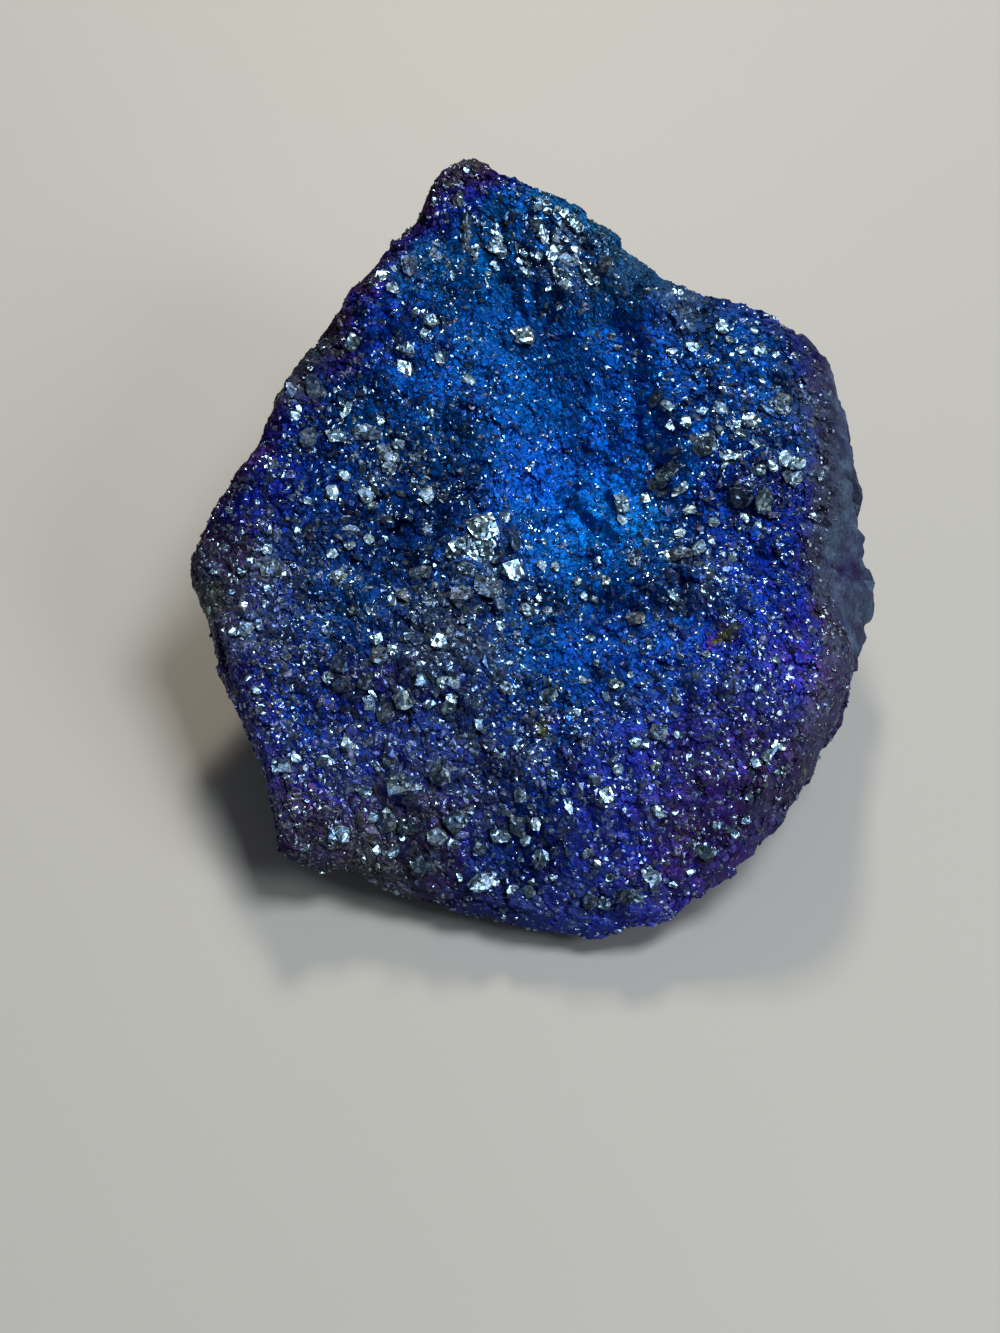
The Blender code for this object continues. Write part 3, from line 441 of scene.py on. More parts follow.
    (-17.4, -7.4, 0.82, 0.3), (-16.3, -5.7, 0.48, 0.7), (-16.9, -10.2, 0.48, 0.7),
    (-15.1, -11.8, 0.54, 0.7), (-18.1, -12.5, 0.48, 0.7), (-16.1, -12.9, 0.48, 0.6),
    (-14.7, -9.2, 0.41, 0.8), (-15.4, -1.2, 0.41, 0.8), (-16.0, -16.7, 0.95, 0.45),
    (-13.3, -16.2, 0.68, 0.85), (-12.8, -16.2, 0.41, 0.95), (-15.0, -16.1, 0.61, 0.7),
    (-11.8, -15.2, 0.95, 0.3),
    # the lower left
    (-11.5, -16.4, 0.54, 0.5), (-6.2, -17.0, 1.09, 0.25), (-8.1, -17.7, 0.54, 0.8),
    (-9.3, -16.0, 0.82, 0.3), (-10.8, -17.5, 0.82, 0.6), (-13.3, -18.5, 0.41, 0.9),
    (-14.8, -19.6, 0.41, 1.0), (-9.5, -19.0, 1.22, 0.25), (-6.3, -20.5, 1.09, 0.2),
    (-10.3, -18.9, 0.61, 0.8), (-12.1, -19.9, 0.95, 0.8), (-12.8, -20.2, 0.82, 0.7),
    (-8.5, -19.9, 0.41, 0.8), (-9.0, -20.6, 0.68, 0.7), (-10.3, -21.0, 0.54, 0.9),
    (-7.5, -22.1, 1.09, 0.8), (-8.0, -21.9, 0.48, 0.9), (-3.7, -20.8, 0.68, 0.4),
    (-2.5, -20.1, 0.95, 0.6), (-5.4, -20.7, 0.68, 0.5), (-1.3, -18.2, 0.75, 0.5),
    (-0.4, -19.7, 0.68, 0.85), (-1.5, -19.7, 0.95, 0.3), (-1.0, -20.4, 0.61, 0.8),
    (-0.1, -21.5, 0.95, 0.3), (-5.1, -22.6, 0.41, 0.9), (-4.0, -23.9, 0.95, 0.5),
    (-1.6, -23.2, 0.41, 0.9), (-1.9, -24.3, 0.68, 0.6), (-0.8, -24.5, 0.68, 0.7),
    (0.7, -22.5, 0.41, 0.9),
    # the lower right
    (1.3, -18.2, 0.48, 0.8), (3.9, -18.7, 0.95, 0.9), (4.6, -17.2, 0.61, 0.8), (6.8, -18.7, 0.54, 0.9),
    (7.1, -19.2, 0.82, 0.7), (8.4, -18.5, 0.41, 0.9), (8.0, -19.3, 0.41, 0.9), (2.7, -21.4, 0.54, 0.6),
    (3.3, -21.8, 0.48, 0.85), (4.1, -22.5, 0.48, 0.8), (6.6, -22.5, 0.95, 0.4), (6.6, -21.9, 0.41, 0.9),
    (6.8, -23.0, 0.95, 0.35), (4.0, -24.6, 0.82, 1.0), (5.9, -24.2, 0.82, 0.5), (5.2, -24.3, 0.95, 0.2),
    (3.1, -24.9, 0.95, 0.15), (9.6, -23.4, 0.41, 1.0), (9.9, -21.2, 0.95, 0.7),
    (10.3, -21.1, 0.41, 0.9), (8.0, -22.7, 0.48, 0.8), (11.9, -20.8, 0.48, 1.0),
    (10.5, -19.9, 0.54, 0.7), (11.3, -20.1, 0.54, 0.2), (12.9, -17.0, 0.61, 0.9),
    (14.5, -16.2, 0.41, 0.8), (13.6, -16.6, 0.68, 0.3), (14.6, -17.9, 0.41, 0.95),
    (13.1, -12.9, 0.54, 0.95), (14.3, -11.1, 0.48, 0.9), (12.5, -18.7, 0.41, 0.6),
    (12.4, -19.9, 0.48, 0.6), (6.9, -16.9, 0.48, 0.6),
]

# Long ones: plan place, width, length over width, heading, sheen
LONG_BLOCKS = [
    (-1.6, -2.0, 0.95, 1.8, -71, 0.45), (2.4, 20.8, 0.86, 1.8, -57, 1.0),
    (0.3, 20.3, 0.86, 1.7, -62, 0.8), (1.1, 18.2, 1.1, 1.8, -76, 1.0), (3.0, 17.6, 0.6, 1.7, -62, 1.0),
    (3.5, 16.9, 0.65, 1.6, -57, 1.0), (-3.4, 17.6, 0.36, 2.4, -67, 0.9),
    (-4.8, 19.9, 0.91, 3.2, -76, 0.15), (-5.2, 21.7, 0.65, 1.7, -81, 1.0),
    (-6.0, 17.5, 0.5, 2.2, -81, 1.0), (-5.7, 16.3, 0.45, 2.0, -81, 0.9),
    (0.8, 19.5, 0.4, 2.2, -67, 0.8), (-1.4, 19.6, 0.36, 2.6, -76, 0.8), (2.6, 18.1, 0.4, 2.2, -62, 0.6),
    (-11.2, 5.6, 1.22, 1.5, 0, 0.25), (12.3, 3.4, 0.95, 2.0, 21, 0.9), (8.3, 3.1, 1.5, 2.0, 27, 0.25),
    (6.0, -2.9, 0.88, 1.6, -85, 0.2), (-4.5, -14.7, 0.54, 2.2, 0, 0.5),
    (-10.4, -12.3, 0.41, 2.0, -52, 0.9), (-10.0, -16.3, 0.41, 2.0, -67, 0.9),
    (-8.3, -17.4, 1.77, 1.6, 27, 0.3), (-7.9, -19.4, 1.22, 1.6, 0, 0.5),
    (-5.1, -19.3, 1.36, 1.4, 52, 0.3), (-3.7, -23.4, 1.22, 1.6, 32, 0.35),
    (1.6, -19.2, 0.61, 1.8, -62, 1.0), (14.0, -16.3, 0.54, 2.2, 71, 0.85),
]

# The larger crystals: seed, usual length over width, width over size, and unevenness
BLOCK_SEED = 903
BLOCK_STRETCH = 1.15
BLOCK_SPAN = 0.95
BLOCK_TILT = 0.08
BLOCK_JITTER = 0.055
# They rise by this much, and by this share to the highest ground an arm away, a share of their width
BLOCK_RISE = 0.06
BLOCK_PROUDNESS = 0.65
BLOCK_ARM = 0.35
COMPASS = [(0, 0), (1, 0), (0, 1), (-1, 0), (0, -1)]
# They stay inside this share of the face's edge; slopes are read over this step
BLOCK_BOUND = 0.97
SLOPE_STEP = 0.05
# The brightest have turned this way, towards the window
BRIGHT_FACING = (0.21, -0.28, 0.93)
FACING_POWER = 1.5
# Their film, and the ranges of their bareness and of their share of the sheen given
BLOCK_FILM = 0.84
BLOCK_BARENESS = (0.65, 0.95)
BLOCK_SHEEN = (0.75, 1.0)
# Chips on top of them: how many a square millimetre, fewer on bright ones, and their size and lean
CHIP_CROWD = 7.0
CHIP_LOSS = 0.3
CHIP_SIZE = 0.33
CHIP_SPREAD = 0.25
CHIP_SHARE = 1.4
CHIP_TILT = 0.22
CHIP_JITTER = 0.07
# Where they sit, as shares of the crystal's size, and how they shine
CHIP_REACH = 0.34
CHIP_HEIGHTS = (0.08, 0.15)
CHIP_SHEEN = (0.6, 1.1)
CHIP_GLEAM = 0.15

# Forms of grains, from the rim of the top down: radius and height, as shares of their size
FLAKE_PROFILE = [(0.6, 0.07), (0.0, -0.5)]
COBBLE_PROFILE = [(0.4, 0.2), (0.6, 0.0), (0.0, -0.5)]
BLOCK_PROFILE = [(0.5, 0.12), (0.6, 0.0), (0.0, -0.5)]
# Sorts of grains: sizes in millimetres, spreads, and ranges of bareness and sheen
FINE_FLAKES = {
    "count": 24500, "seed": 301, "size": 0.24, "spread": 0.22, "fineness": 0.8, "sink": 0.03, "tilt": 0.07,
    "stretch": 1.1, "film_spread": 0.045, "light_spread": 0.1, "bare": (0.0, 0.06), "sheen": (0.0, 0.5),
    "sheen_lean": 1.0,
}
FILM_COBBLES = {
    "count": 10500, "seed": 302, "size": 0.34, "spread": 0.28, "fineness": 1.2, "sink": 0.19, "tilt": 0.11,
    "stretch": 1.15, "film_spread": 0.06, "light_spread": 0.13, "bare": (0.0, 0.1), "sheen": (0.0, 0.5),
    "sheen_lean": 1.0,
}
SILVER_GRAINS = {
    "count": 6200, "seed": 303, "size": 0.29, "spread": 0.3, "fineness": 0.5, "sink": 0.02, "tilt": 0.34,
    "stretch": 1.2, "film_spread": 0.05, "light_spread": 0.2, "bare": (0.2, 0.8), "sheen": (0.8, 1.0),
    "sheen_lean": 0.7,
}
AZURE_GLINTS = {
    "count": 7500, "seed": 305, "size": 0.25, "spread": 0.28, "fineness": 0.4, "sink": 0.02, "tilt": 0.26,
    "stretch": 1.35, "film_spread": 0.06, "light_spread": 0.25, "bare": (0.08, 0.4), "sheen": (0.8, 1.0),
    "sheen_lean": 1.0,
}
DULL_GRAINS = {
    "count": 4200, "seed": 304, "size": 0.44, "spread": 0.28, "fineness": 1.0, "sink": 0.09, "tilt": 0.26,
    "stretch": 1.4, "film_spread": 0.05, "light_spread": 0.2, "bare": (0.3, 0.8), "sheen": (0.0, 0.3),
    "sheen_lean": 1.6,
}
# How uneven grains are, and the share of the ground's dust that they have
GRAIN_JITTER = 0.06
GRAIN_DUST = 0.8
# No grain reaches lower than this over the table, and no value goes past the most
LOWEST_GRAIN = 0.05
MOST_VALUE = 1.5
# On the wall, grains are this much smaller, less bare and fewer
WALL_FINENESS = 0.45
WALL_BARENESS = 0.5
GRAIN_LOSS = 0.8
# Glints lie everywhere, and thicker among bare grains
GLINTS_EVERYWHERE = 0.85
GLINTS_AMONG_BARE = 0.35

# The film's colours as it thickens, as the metal under it reflects them
FILM_COLOURS = [
    (0.0, (0.11, 0.175, 0.05)), (0.15, (0.085, 0.108, 0.045)), (0.26, (0.045, 0.024, 0.048)),
    (0.36, (0.048, 0.015, 0.13)), (0.46, (0.021, 0.015, 0.29)), (0.54, (0.008, 0.021, 0.365)),
    (0.63, (0.003, 0.035, 0.345)), (0.74, (0.001, 0.058, 0.335)), (0.86, (0.001, 0.09, 0.35)),
    (1.0, (0.001, 0.118, 0.28)),
]
SILVER = (0.52, 0.78, 0.92)
OLIVE = (0.125, 0.124, 0.106)
DUST = (0.118, 0.18, 0.285)
# Finishes: roughness, metal, width of a glittering cell, its tilt, its two shades, how dark its lines of
# painted crack shade are
GROUND_FINISH = (0.46, 0.78, 0.19, 0.24, (0.82, 1.15), 0.4)
FILM_GRAIN_FINISH = (0.44, 0.78, 0.16, 0.16, (0.88, 1.14), 0.3)
BARE_GRAIN_FINISH = (0.2, 0.94, 0.14, 0.25, (0.8, 1.1), 0.3)
CRYSTAL_FINISH = (0.25, 1.0, 0.27, 0.24, (0.35, 1.5), 0.8)
# The ground between grains: how light it is painted, darker as painted shade in the gaps between grains,
# and how bare and bright its crystals are
GROUND_PAINTED_GAP_SHADE = 0.85
GROUND_BARENESS = 0.5
GROUND_SHEEN = 0.3
KNOT_FADE = (1.0, 1.6)
# Lines of painted shade between cells, as a share of a cell, and the mottling's scale a metre
CRACK_SHADE_WIDTH = 0.1
MOTTLE_SCALE = 1100.0
MOTTLE_DETAIL = 3.0
# What mottling and cells change: film, bareness and dust
MOTTLE_FILM = 0.12
MOTTLE_DUST = 2.0
CELL_FILM = 0.05
CELL_BARENESS = 0.6
LEAST_BARENESS = 0.5
# What dust and olive stone add to the roughness, and take from the metal
DUST_ROUGHNESS = 0.4
DUST_COVER = 0.6
STONE_ROUGHNESS = 0.25
STONE_COVER = 0.45

# The tabletop, in millimetres but for its grain, which is a scale a metre
FLOOR_WIDTH = 900.0
FLOOR_DROP = 0.02
FLOOR_GRAIN = 14.0
FLOOR_ROUGHNESS = 0.55
FLOOR_COLOURS = ((0.535, 0.525, 0.51), (0.575, 0.565, 0.55))
# Lights: place and width in millimetres, power, colour; they look at one place, and the room is dim
WARM_LAMP = ((-13.0, 352.0, 320.0), 75.0, 0.83, (1.0, 0.89, 0.72))
HIGH_WINDOW = ((320.0, 70.0, 750.0), 280.0, 3.67, (0.93, 0.98, 1.0))
LOW_WINDOW = ((560.0, -260.0, 440.0), 240.0, 1.31, (0.9, 0.97, 1.0))
LIGHT_AIM = (0.0, 0.0, 8.0)
ROOM_COLOUR = (0.95, 0.98, 1.0)
ROOM_POWER = 0.08

# Camera: the picture is 1000 by 1333 pixels and the lens is given in those pixels
PICTURE_HEIGHT = 1333.0
FOCAL_PIXELS = 2330.0
CAMERA_ELEVATION = 52.0
CAMERA_DISTANCE = 156.0
CAMERA_AIM = (-2.27, -3.26)
SENSOR_WIDTH = 36.0
# How near and how far it sees, in metres
NEAREST_VIEW = 0.005
FURTHEST_VIEW = 5.0


def bearing(x, y):
    """Angle of a plan place from +X, in degrees from 0 to 360."""
    return np.degrees(np.arctan2(y, x)) % 360.0


def east_north(angle):
    """How far east and how far north one step at an angle in degrees goes."""
    return np.cos(np.radians(angle)), np.sin(np.radians(angle))


def columns(x, y, z):
    """Points from their three coordinates, any of which may be one number for all."""
    return np.stack(np.broadcast_arrays(x, y, z), axis=1)


def unit(vectors):
    """Vectors brought to length 1."""
    return vectors / np.maximum(np.linalg.norm(vectors, axis=1), 1e-9)[:, None]


def round_curve(stops, angle):
    """Read a closed list of (degrees, value) stops at any angle, with a smooth cubic through them."""
    where, value = np.array(stops, float).T
    order = np.argsort(where % 360.0)
    where = where[order] % 360.0
    value = value[order]
    count = len(where)
    turn = (angle - where[0]) % 360.0
    gaps = np.append(where[1:], where[0] + 360.0) - where
    reach = np.append(0.0, np.cumsum(gaps))
    index = np.clip(np.searchsorted(reach, turn, side="right") - 1, 0, count - 1)
    u = (turn - reach[index]) / gaps[index]
    following = (index + 1) % count
    slope = (np.roll(value, -1) - np.roll(value, 1)) / (gaps + np.roll(gaps, 1))
    start_slope = slope[index] * gaps[index]
    end_slope = slope[following] * gaps[index]
    rise = value[following] - value[index]
    return (
        value[index]
        + u * start_slope
        + u**2 * (3.0 * rise - 2.0 * start_slope - end_slope)
        + u**3 * (start_slope + end_slope - 2.0 * rise)
    )


def smooth_step(value, start, end):
    """Rise from 0 at start to 1 at end, level at both."""
    u = np.clip((value - start) / (end - start), 0.0, 1.0)
    return u * u * (3.0 - 2.0 * u)


def cell_key(shuffle, at):
    """A cell's row in a shuffled table: always the same for one cell, and unlike its neighbours'."""
    key = shuffle[at[:, 0] % len(shuffle)]
    for axis in (1, 2):
        key = shuffle[(key + at[:, axis]) % len(shuffle)]
    return key


def lattice_noise(points, cell, seed):
    """Smooth noise of about -1 to 1: a random slope at each corner of a cubic lattice, blended."""
    rng = np.random.default_rng(seed)
    slopes = unit(rng.normal(size=(NOISE_SLOPES, 3)))
    shuffle = rng.permutation(NOISE_SLOPES)
    scaled = points / cell
    corner = np.floor(scaled).astype(int)
    inside = scaled - corner
    fade = inside**3 * (inside * (inside * 6.0 - 15.0) + 10.0)
    total = np.zeros(len(points))
    for step in product((0, 1), repeat=3):
        key = cell_key(shuffle, corner + np.array(step))
        reach = inside - np.array(step)
        blend = np.prod(np.where(step, fade, 1.0 - fade), axis=1)
        total += blend * np.sum(slopes[key] * reach, axis=1)
    return NOISE_GAIN * total


def lumps(points, layers):
    """Sum layers of noise, each a cell size, a height and a seed."""
    total = np.zeros(len(points))
    for cell, rise, seed in layers:
        total += rise * lattice_noise(points, cell, seed)
    return total


def mound(x, y, form):
    """A rounded rise or hollow: its height falls off as a bell in plan."""
    across = (x - form["at"][0]) / form["reach"][0]
    along = (y - form["at"][1]) / form["reach"][1]
    return form["rise"] * np.exp(-(across**2 + along**2))


def distance_to_path(x, y, path):
    """Shortest plan distance to a chain of straight runs."""
    nearest = np.full(len(x), np.inf)
    for (ax, ay), (bx, by) in zip(path[:-1], path[1:]):
        run_x = bx - ax
        run_y = by - ay
        share = ((x - ax) * run_x + (y - ay) * run_y) / (run_x**2 + run_y**2)
        share = np.clip(share, 0.0, 1.0)
        gap = np.hypot(x - ax - share * run_x, y - ay - share * run_y)
        nearest = np.minimum(nearest, gap)
    return nearest


def band(x, y, form):
    """A ridge or valley along a path, with a bell for its section."""
    gap = distance_to_path(x, y, form["path"])
    return form["rise"] * np.exp(-((gap / form["width"]) ** 2))


def ledge(x, y, form):
    """A drop across a line: the ground on the right hand of start to end stands higher, then fades."""
    ax, ay = form["start"]
    bx, by = form["end"]
    length = math.hypot(bx - ax, by - ay)
    run_x = (bx - ax) / length
    run_y = (by - ay) / length
    along = (x - ax) * run_x + (y - ay) * run_y
    beside = (x - ax) * run_y - (y - ay) * run_x
    begun = smooth_step(along, -LEDGE_OUTRUN, LEDGE_INSET)
    ended = smooth_step(along, length - LEDGE_INSET, length + LEDGE_OUTRUN)
    high = smooth_step(beside, -form["soft"], form["soft"])
    fade = np.exp(-((np.maximum(beside, 0.0) / form["run"]) ** 2))
    return form["drop"] * high * fade * (begun * (1.0 - ended))


def ribs(x, y):
    """Long low crystals side by side: a saw-toothed wave across their heading, inside a bell."""
    heading = math.radians(RIBS["heading"])
    across = -(x * math.sin(heading)) + y * math.cos(heading)
    along = x * math.cos(heading) + y * math.sin(heading)
    phase = (across / RIBS["pitch"] + RIBS["sway"] * np.sin(along * RIBS["sway_rate"])) % 1.0
    tooth = 1.0 - np.abs(2.0 * phase - 1.0)
    return mound(x, y, RIBS) * (2.0 * tooth - 1.0)


def ground_height(x, y):
    """Height of the upper face without its crystals: a leaning plane, its named forms and small lumps."""
    height = FACE_MIDDLE_HEIGHT + y * math.tan(math.radians(FACE_LEAN))
    for form in MOUNDS:
        height = height + mound(x, y, form)
    for form in BANDS:
        height = height + band(x, y, form)
    for form in LEDGES:
        height = height + ledge(x, y, form)
    return height + ribs(x, y) + lumps(columns(x, y, 0.0), FACE_LUMPS)


def grow_crystals():
    """Lay out the larger crystals: each has a place, a heading and flat faces with their own slopes."""
    rng = np.random.default_rng(CRYSTAL_SEED)
    spacing = 2.0 * math.pi / CRYSTAL_SIDES
    crystals = []
    for x, y, spread_x, spread_y, many, size, stretch, stand in CRYSTALS:
        for _ in range(many):
            place_x = x + spread_x * rng.uniform(-1.0, 1.0)
            place_y = y + spread_y * rng.uniform(-1.0, 1.0)
            width = size * rng.uniform(*WIDTH_RANGE)
            heading = rng.uniform(0.0, math.pi)
            if stretch > LONG_STRETCH:
                heading = math.radians(RIBS["heading"]) + rng.uniform(-RIB_PLAY, RIB_PLAY)
            turns = np.arange(CRYSTAL_SIDES) + rng.uniform(-SIDE_PLAY, SIDE_PLAY, CRYSTAL_SIDES)
            crystals.append({
                "x": place_x,
                "y": place_y,
                "width": width,
                "stretch": stretch,
                "heading": heading,
                "turns": spacing * turns,
                "reaches": 0.5 * width * rng.uniform(*SIDE_REACHES, CRYSTAL_SIDES),
                "slopes": rng.uniform(*SIDE_SLOPES, CRYSTAL_SIDES),
                "top": width * stand * rng.uniform(*TOP_RANGE),
                "tilt": rng.normal(0.0, TOP_TILT, 2),
            })
    return crystals


def crystal_height(x, y, crystal, foot):
    """Upper surface of one crystal: the lowest of its flat top and its flat sides."""
    east = math.cos(crystal["heading"])
    north = math.sin(crystal["heading"])
    along = ((x - crystal["x"]) * east + (y - crystal["y"]) * north) / crystal["stretch"]
    across = (y - crystal["y"]) * east - (x - crystal["x"]) * north
    height = crystal["top"] + crystal["tilt"][0] * along + crystal["tilt"][1] * across
    for turn, reach, slope in zip(crystal["turns"], crystal["reaches"], crystal["slopes"]):
        side = slope * (reach - along * math.cos(turn) - across * math.sin(turn))
        height = np.minimum(height, side)
    lean = (y - crystal["y"]) * math.tan(math.radians(FACE_LEAN))
    return foot + lean + height


def face_height(x, y):
    """Height of the upper face, crystals and all, and how far each point stands out of the ground."""
    ground = ground_height(x, y)
    height = ground.copy()
    crystals = grow_crystals()
    xs = np.array([crystal["x"] for crystal in crystals])
    ys = np.array([crystal["y"] for crystal in crystals])
    feet = ground_height(xs, ys)
    for crystal, foot in zip(crystals, feet):
        reach = crystal["width"] * crystal["stretch"]
        near = np.hypot(x - crystal["x"], y - crystal["y"]) < reach
        raised = crystal_height(x[near], y[near], crystal, foot)
        height[near] = np.maximum(height[near], raised)
    return height, height - ground


def outline_at(angle):
    """Radii of the face's edge, the widest girth and the base at each angle, with small lumps."""
    girth = round_curve(GIRTH, angle)
    east, north = east_north(angle)
    girth = girth + lumps(columns(girth * east, girth * north, 0.0), EDGE_LUMPS)
    return girth * round_curve(FACE_REACH, angle), girth, round_curve(BASE_REACH, angle)


def wall_section(down, edge, girth, base, edge_z, girth_z):
    """Radius and height down the wall: a quarter ellipse out to the girth, then a belly in to the base."""
    upper = np.clip(down / GIRTH_SHARE, 0.0, 1.0) * (math.pi / 2.0)
    lower = np.clip((down - GIRTH_SHARE) / (1.0 - GIRTH_SHARE), 0.0, 1.0)
    inward = lower + (1.0 - np.cos(lower * math.pi / 2.0) - lower) * BELLY
    downward = lower + (np.sin(lower * math.pi / 2.0) - lower) * BELLY
    radius = edge + (girth - edge) * np.sin(upper) + (base - girth) * inward
    height = edge_z + (girth_z - edge_z) * (1.0 - np.cos(upper)) - (girth_z + BASE_DEPTH) * downward
    return radius, height


def side_bulge(angle, height):
    """The rounded bulge low on the wall: a bell in angle and in height."""
    away = (angle - SIDE_BULGE["angle"] + 180.0) % 360.0 - 180.0
    rise = (height - SIDE_BULGE["height"]) / SIDE_BULGE["thickness"]
    return SIDE_BULGE["rise"] * np.exp(-((away / SIDE_BULGE["spread"]) ** 2) - rise**2)


def wall_chord(heading):
    """Ends of the wall's straight chord at one heading: radius and height of the girth, and of the base."""
    angle = np.array([float(heading)])
    girth = round_curve(GIRTH, angle)
    east, north = east_north(angle)
    edge = girth * round_curve(FACE_REACH, angle)
    height = ground_height(edge * east, edge * north) - round_curve(GIRTH_DROP, angle)
    return girth[0], height[0], round_curve(BASE_REACH, angle)[0]


def trim_by_breaks(points, weight):
    """Press what stands outside each flat break back onto that break."""
    for heading, extra_tilt, bite in BREAKS:
        turn = math.radians(heading)
        girth, height, base = wall_chord(heading)
        drop = math.atan2(girth - base, height) + math.radians(extra_tilt)
        normal = np.array([
            math.cos(turn) * math.cos(drop),
            math.sin(turn) * math.cos(drop),
            -math.sin(drop),
        ])
        half_way = (girth + base) / 2.0
        middle = np.array([half_way * math.cos(turn), half_way * math.sin(turn), height / 2.0])
        outside = (points - middle) @ normal + bite
        points = points - (BREAK_FIRMNESS * weight * np.maximum(outside, 0.0))[:, None] * normal
    return points


def ore_point(direction):
    """Carry points of a unit sphere to the chunk, in millimetres.

    The share of the sphere's area above a point says whether it lies on the
    face, on the wall or under the base, and its angle picks the outline.
    Also returned are how far down the wall it is, from 0 on the face to 1 at
    the base, and how far its crystal stands out of the ground.
    """
    angle = bearing(direction[:, 0], direction[:, 1])
    share = (1.0 - direction[:, 2]) / 2.0
    east, north = east_north(angle)
    edge, girth, base = outline_at(angle)

    out = np.sqrt(np.clip(share / FACE_SHARE, 0.0, 1.0))
    face_x = out * edge * east
    face_y = out * edge * north
    face_z, stand = face_height(face_x, face_y)
    face_z = face_z - EDGE_ROUNDING * out**EDGE_SHARPNESS

    girth_z = face_z - round_curve(GIRTH_DROP, angle)
    down = np.clip((share - FACE_SHARE) / WALL_SHARE, 0.0, 1.0)
    under = np.clip((share - FACE_SHARE - WALL_SHARE) / (1.0 - FACE_SHARE - WALL_SHARE), 0.0, 1.0)
    radius, height = wall_section(down, edge, girth, base, face_z, girth_z)
    radius = radius * np.sqrt(1.0 - under)
    wall = columns(radius * east, radius * north, height)

    rough = smooth_step(down, *ROUGH_FADE)
    swell = lumps(wall, WALL_LUMPS) * rough * (1.0 - under)
    swell = swell + side_bulge(angle, height) * smooth_step(down, *BULGE_FADE)
    wall = trim_by_breaks(wall, rough)
    wall[:, 0] += swell * east
    wall[:, 1] += swell * north

    on_top = share < FACE_SHARE
    points = np.where(on_top[:, None], columns(face_x, face_y, face_z), wall) + (*PLAN_SHIFT, 0.0)
    return points, down, np.where(on_top, stand, 0.0)


def sphere_grid(steps):
    """A closed grid on the unit sphere: a cube's six sides, each steps by steps, blown out round.

    Rows are spread by the tangent of equal angles, so cells are nearly equal,
    and sides share the points along the cube's edges.
    """
    ticks = np.arange(steps + 1)
    u, v = np.meshgrid(ticks, ticks, indexing="ij")
    lattices = []
    outward = []
    for axis in range(3):
        for end in (0, steps):
            lattice = np.empty((steps + 1, steps + 1, 3), int)
            lattice[..., axis] = end
            lattice[..., (axis + 1) % 3] = u
            lattice[..., (axis + 2) % 3] = v
            lattices.append(lattice)
            outward.append(end > 0)
    stacked = np.stack(lattices)
    keys = (stacked[..., 0] * (steps + 1) + stacked[..., 1]) * (steps + 1) + stacked[..., 2]
    _, first, index = np.unique(keys.ravel(), return_index=True, return_inverse=True)
    index = index.reshape(keys.shape)
    cube = np.tan((2.0 * stacked.reshape(-1, 3)[first] / steps - 1.0) * math.pi / 4.0)
    quads = []
    for side, faces_out in zip(index, outward):
        ring = [side[:-1, :-1], side[1:, :-1], side[1:, 1:], side[:-1, 1:]]
        if not faces_out:
            ring = ring[::-1]
        quads.append(np.stack(ring, axis=-1).reshape(-1, 4))
    return unit(cube), np.concatenate(quads)


def face_normals(points, faces):
    """Each face's normal, as long as the face is large: half the cross product of its diagonals."""
    corners = points[faces]
    return 0.5 * np.cross(corners[:, 2] - corners[:, 0], corners[:, 3] - corners[:, 1])


def point_normals(points, faces):
    """Unit normal at each point: the mean of the faces round it, larger faces counting more."""
    across = face_normals(points, faces)
    total = np.zeros_like(points)
    for corner in range(faces.shape[1]):
        for axis in range(3):
            total[:, axis] += np.bincount(faces[:, corner], across[:, axis], len(points))
    return unit(total)


def cell_facets(points, cell, tilt, step, seed):
    """Height of a mosaic of broken facets.

    Space is parted among scattered seeds, one to a lattice cell. Each seed's
    neighbourhood is a plane with a random slope and a random offset.
    """
    rng = np.random.default_rng(seed)
    shuffle = rng.permutation(FACET_KINDS)
    place = rng.uniform(*MIDDLE_SPAN, (FACET_KINDS, 3))
    slope = rng.normal(0.0, tilt, (FACET_KINDS, 3))
    offset = rng.uniform(-step, step, FACET_KINDS)
    scaled = points / cell
    home = np.floor(scaled).astype(int)
    nearest = np.full(len(points), np.inf)
    chosen = np.zeros(len(points), int)
    gap = np.zeros((len(points), 3))
    for shift in product((-1, 0, 1), repeat=3):
        at = home + np.array(shift)
        key = cell_key(shuffle, at)
        reach = scaled - at - place[key]
        distance = np.sum(reach**2, axis=1)
        closer = distance < nearest
        nearest[closer] = distance[closer]
        chosen[closer] = key[closer]
        gap[closer] = reach[closer]
    return cell * np.sum(gap * slope[chosen], axis=1) + offset[chosen]


def add_facets(points, normals, down, coarse):
    """Break the smooth form into fine facets, pushed along its normals.

    They are lower where the grains are less coarse, and the base stays flat.
    """
    height = np.zeros(len(points))
    wall = smooth_step(down, *FACET_FADE)
    for cell, tilt, step, seed in FACE_FACETS:
        height += (1.0 - wall) * coarse * cell_facets(points, cell, tilt, step, seed)
    for cell, tilt, step, seed in WALL_FACETS:
        height += wall * cell_facets(points, cell, tilt, step, seed)
    moved = points + normals * height[:, None]
    moved[:, 2] = np.maximum(moved[:, 2], 0.0)
    return moved


def nearness(points, x, y, reach):
    """A bell round a plan place: 1 at its middle, falling off with distance over reach."""
    return np.exp(-((points[:, 0] - x) ** 2 + (points[:, 1] - y) ** 2) / reach**2)


def rim_at(points):
    """Each point's angle, and how near it is to the face's edge: 0 inside, 1 at the edge."""
    angle = bearing(points[:, 0], points[:, 1])
    edge = round_curve(GIRTH, angle) * round_curve(FACE_REACH, angle)
    return angle, smooth_step(np.hypot(points[:, 0], points[:, 1]) / edge, RIM_START, 1.0)


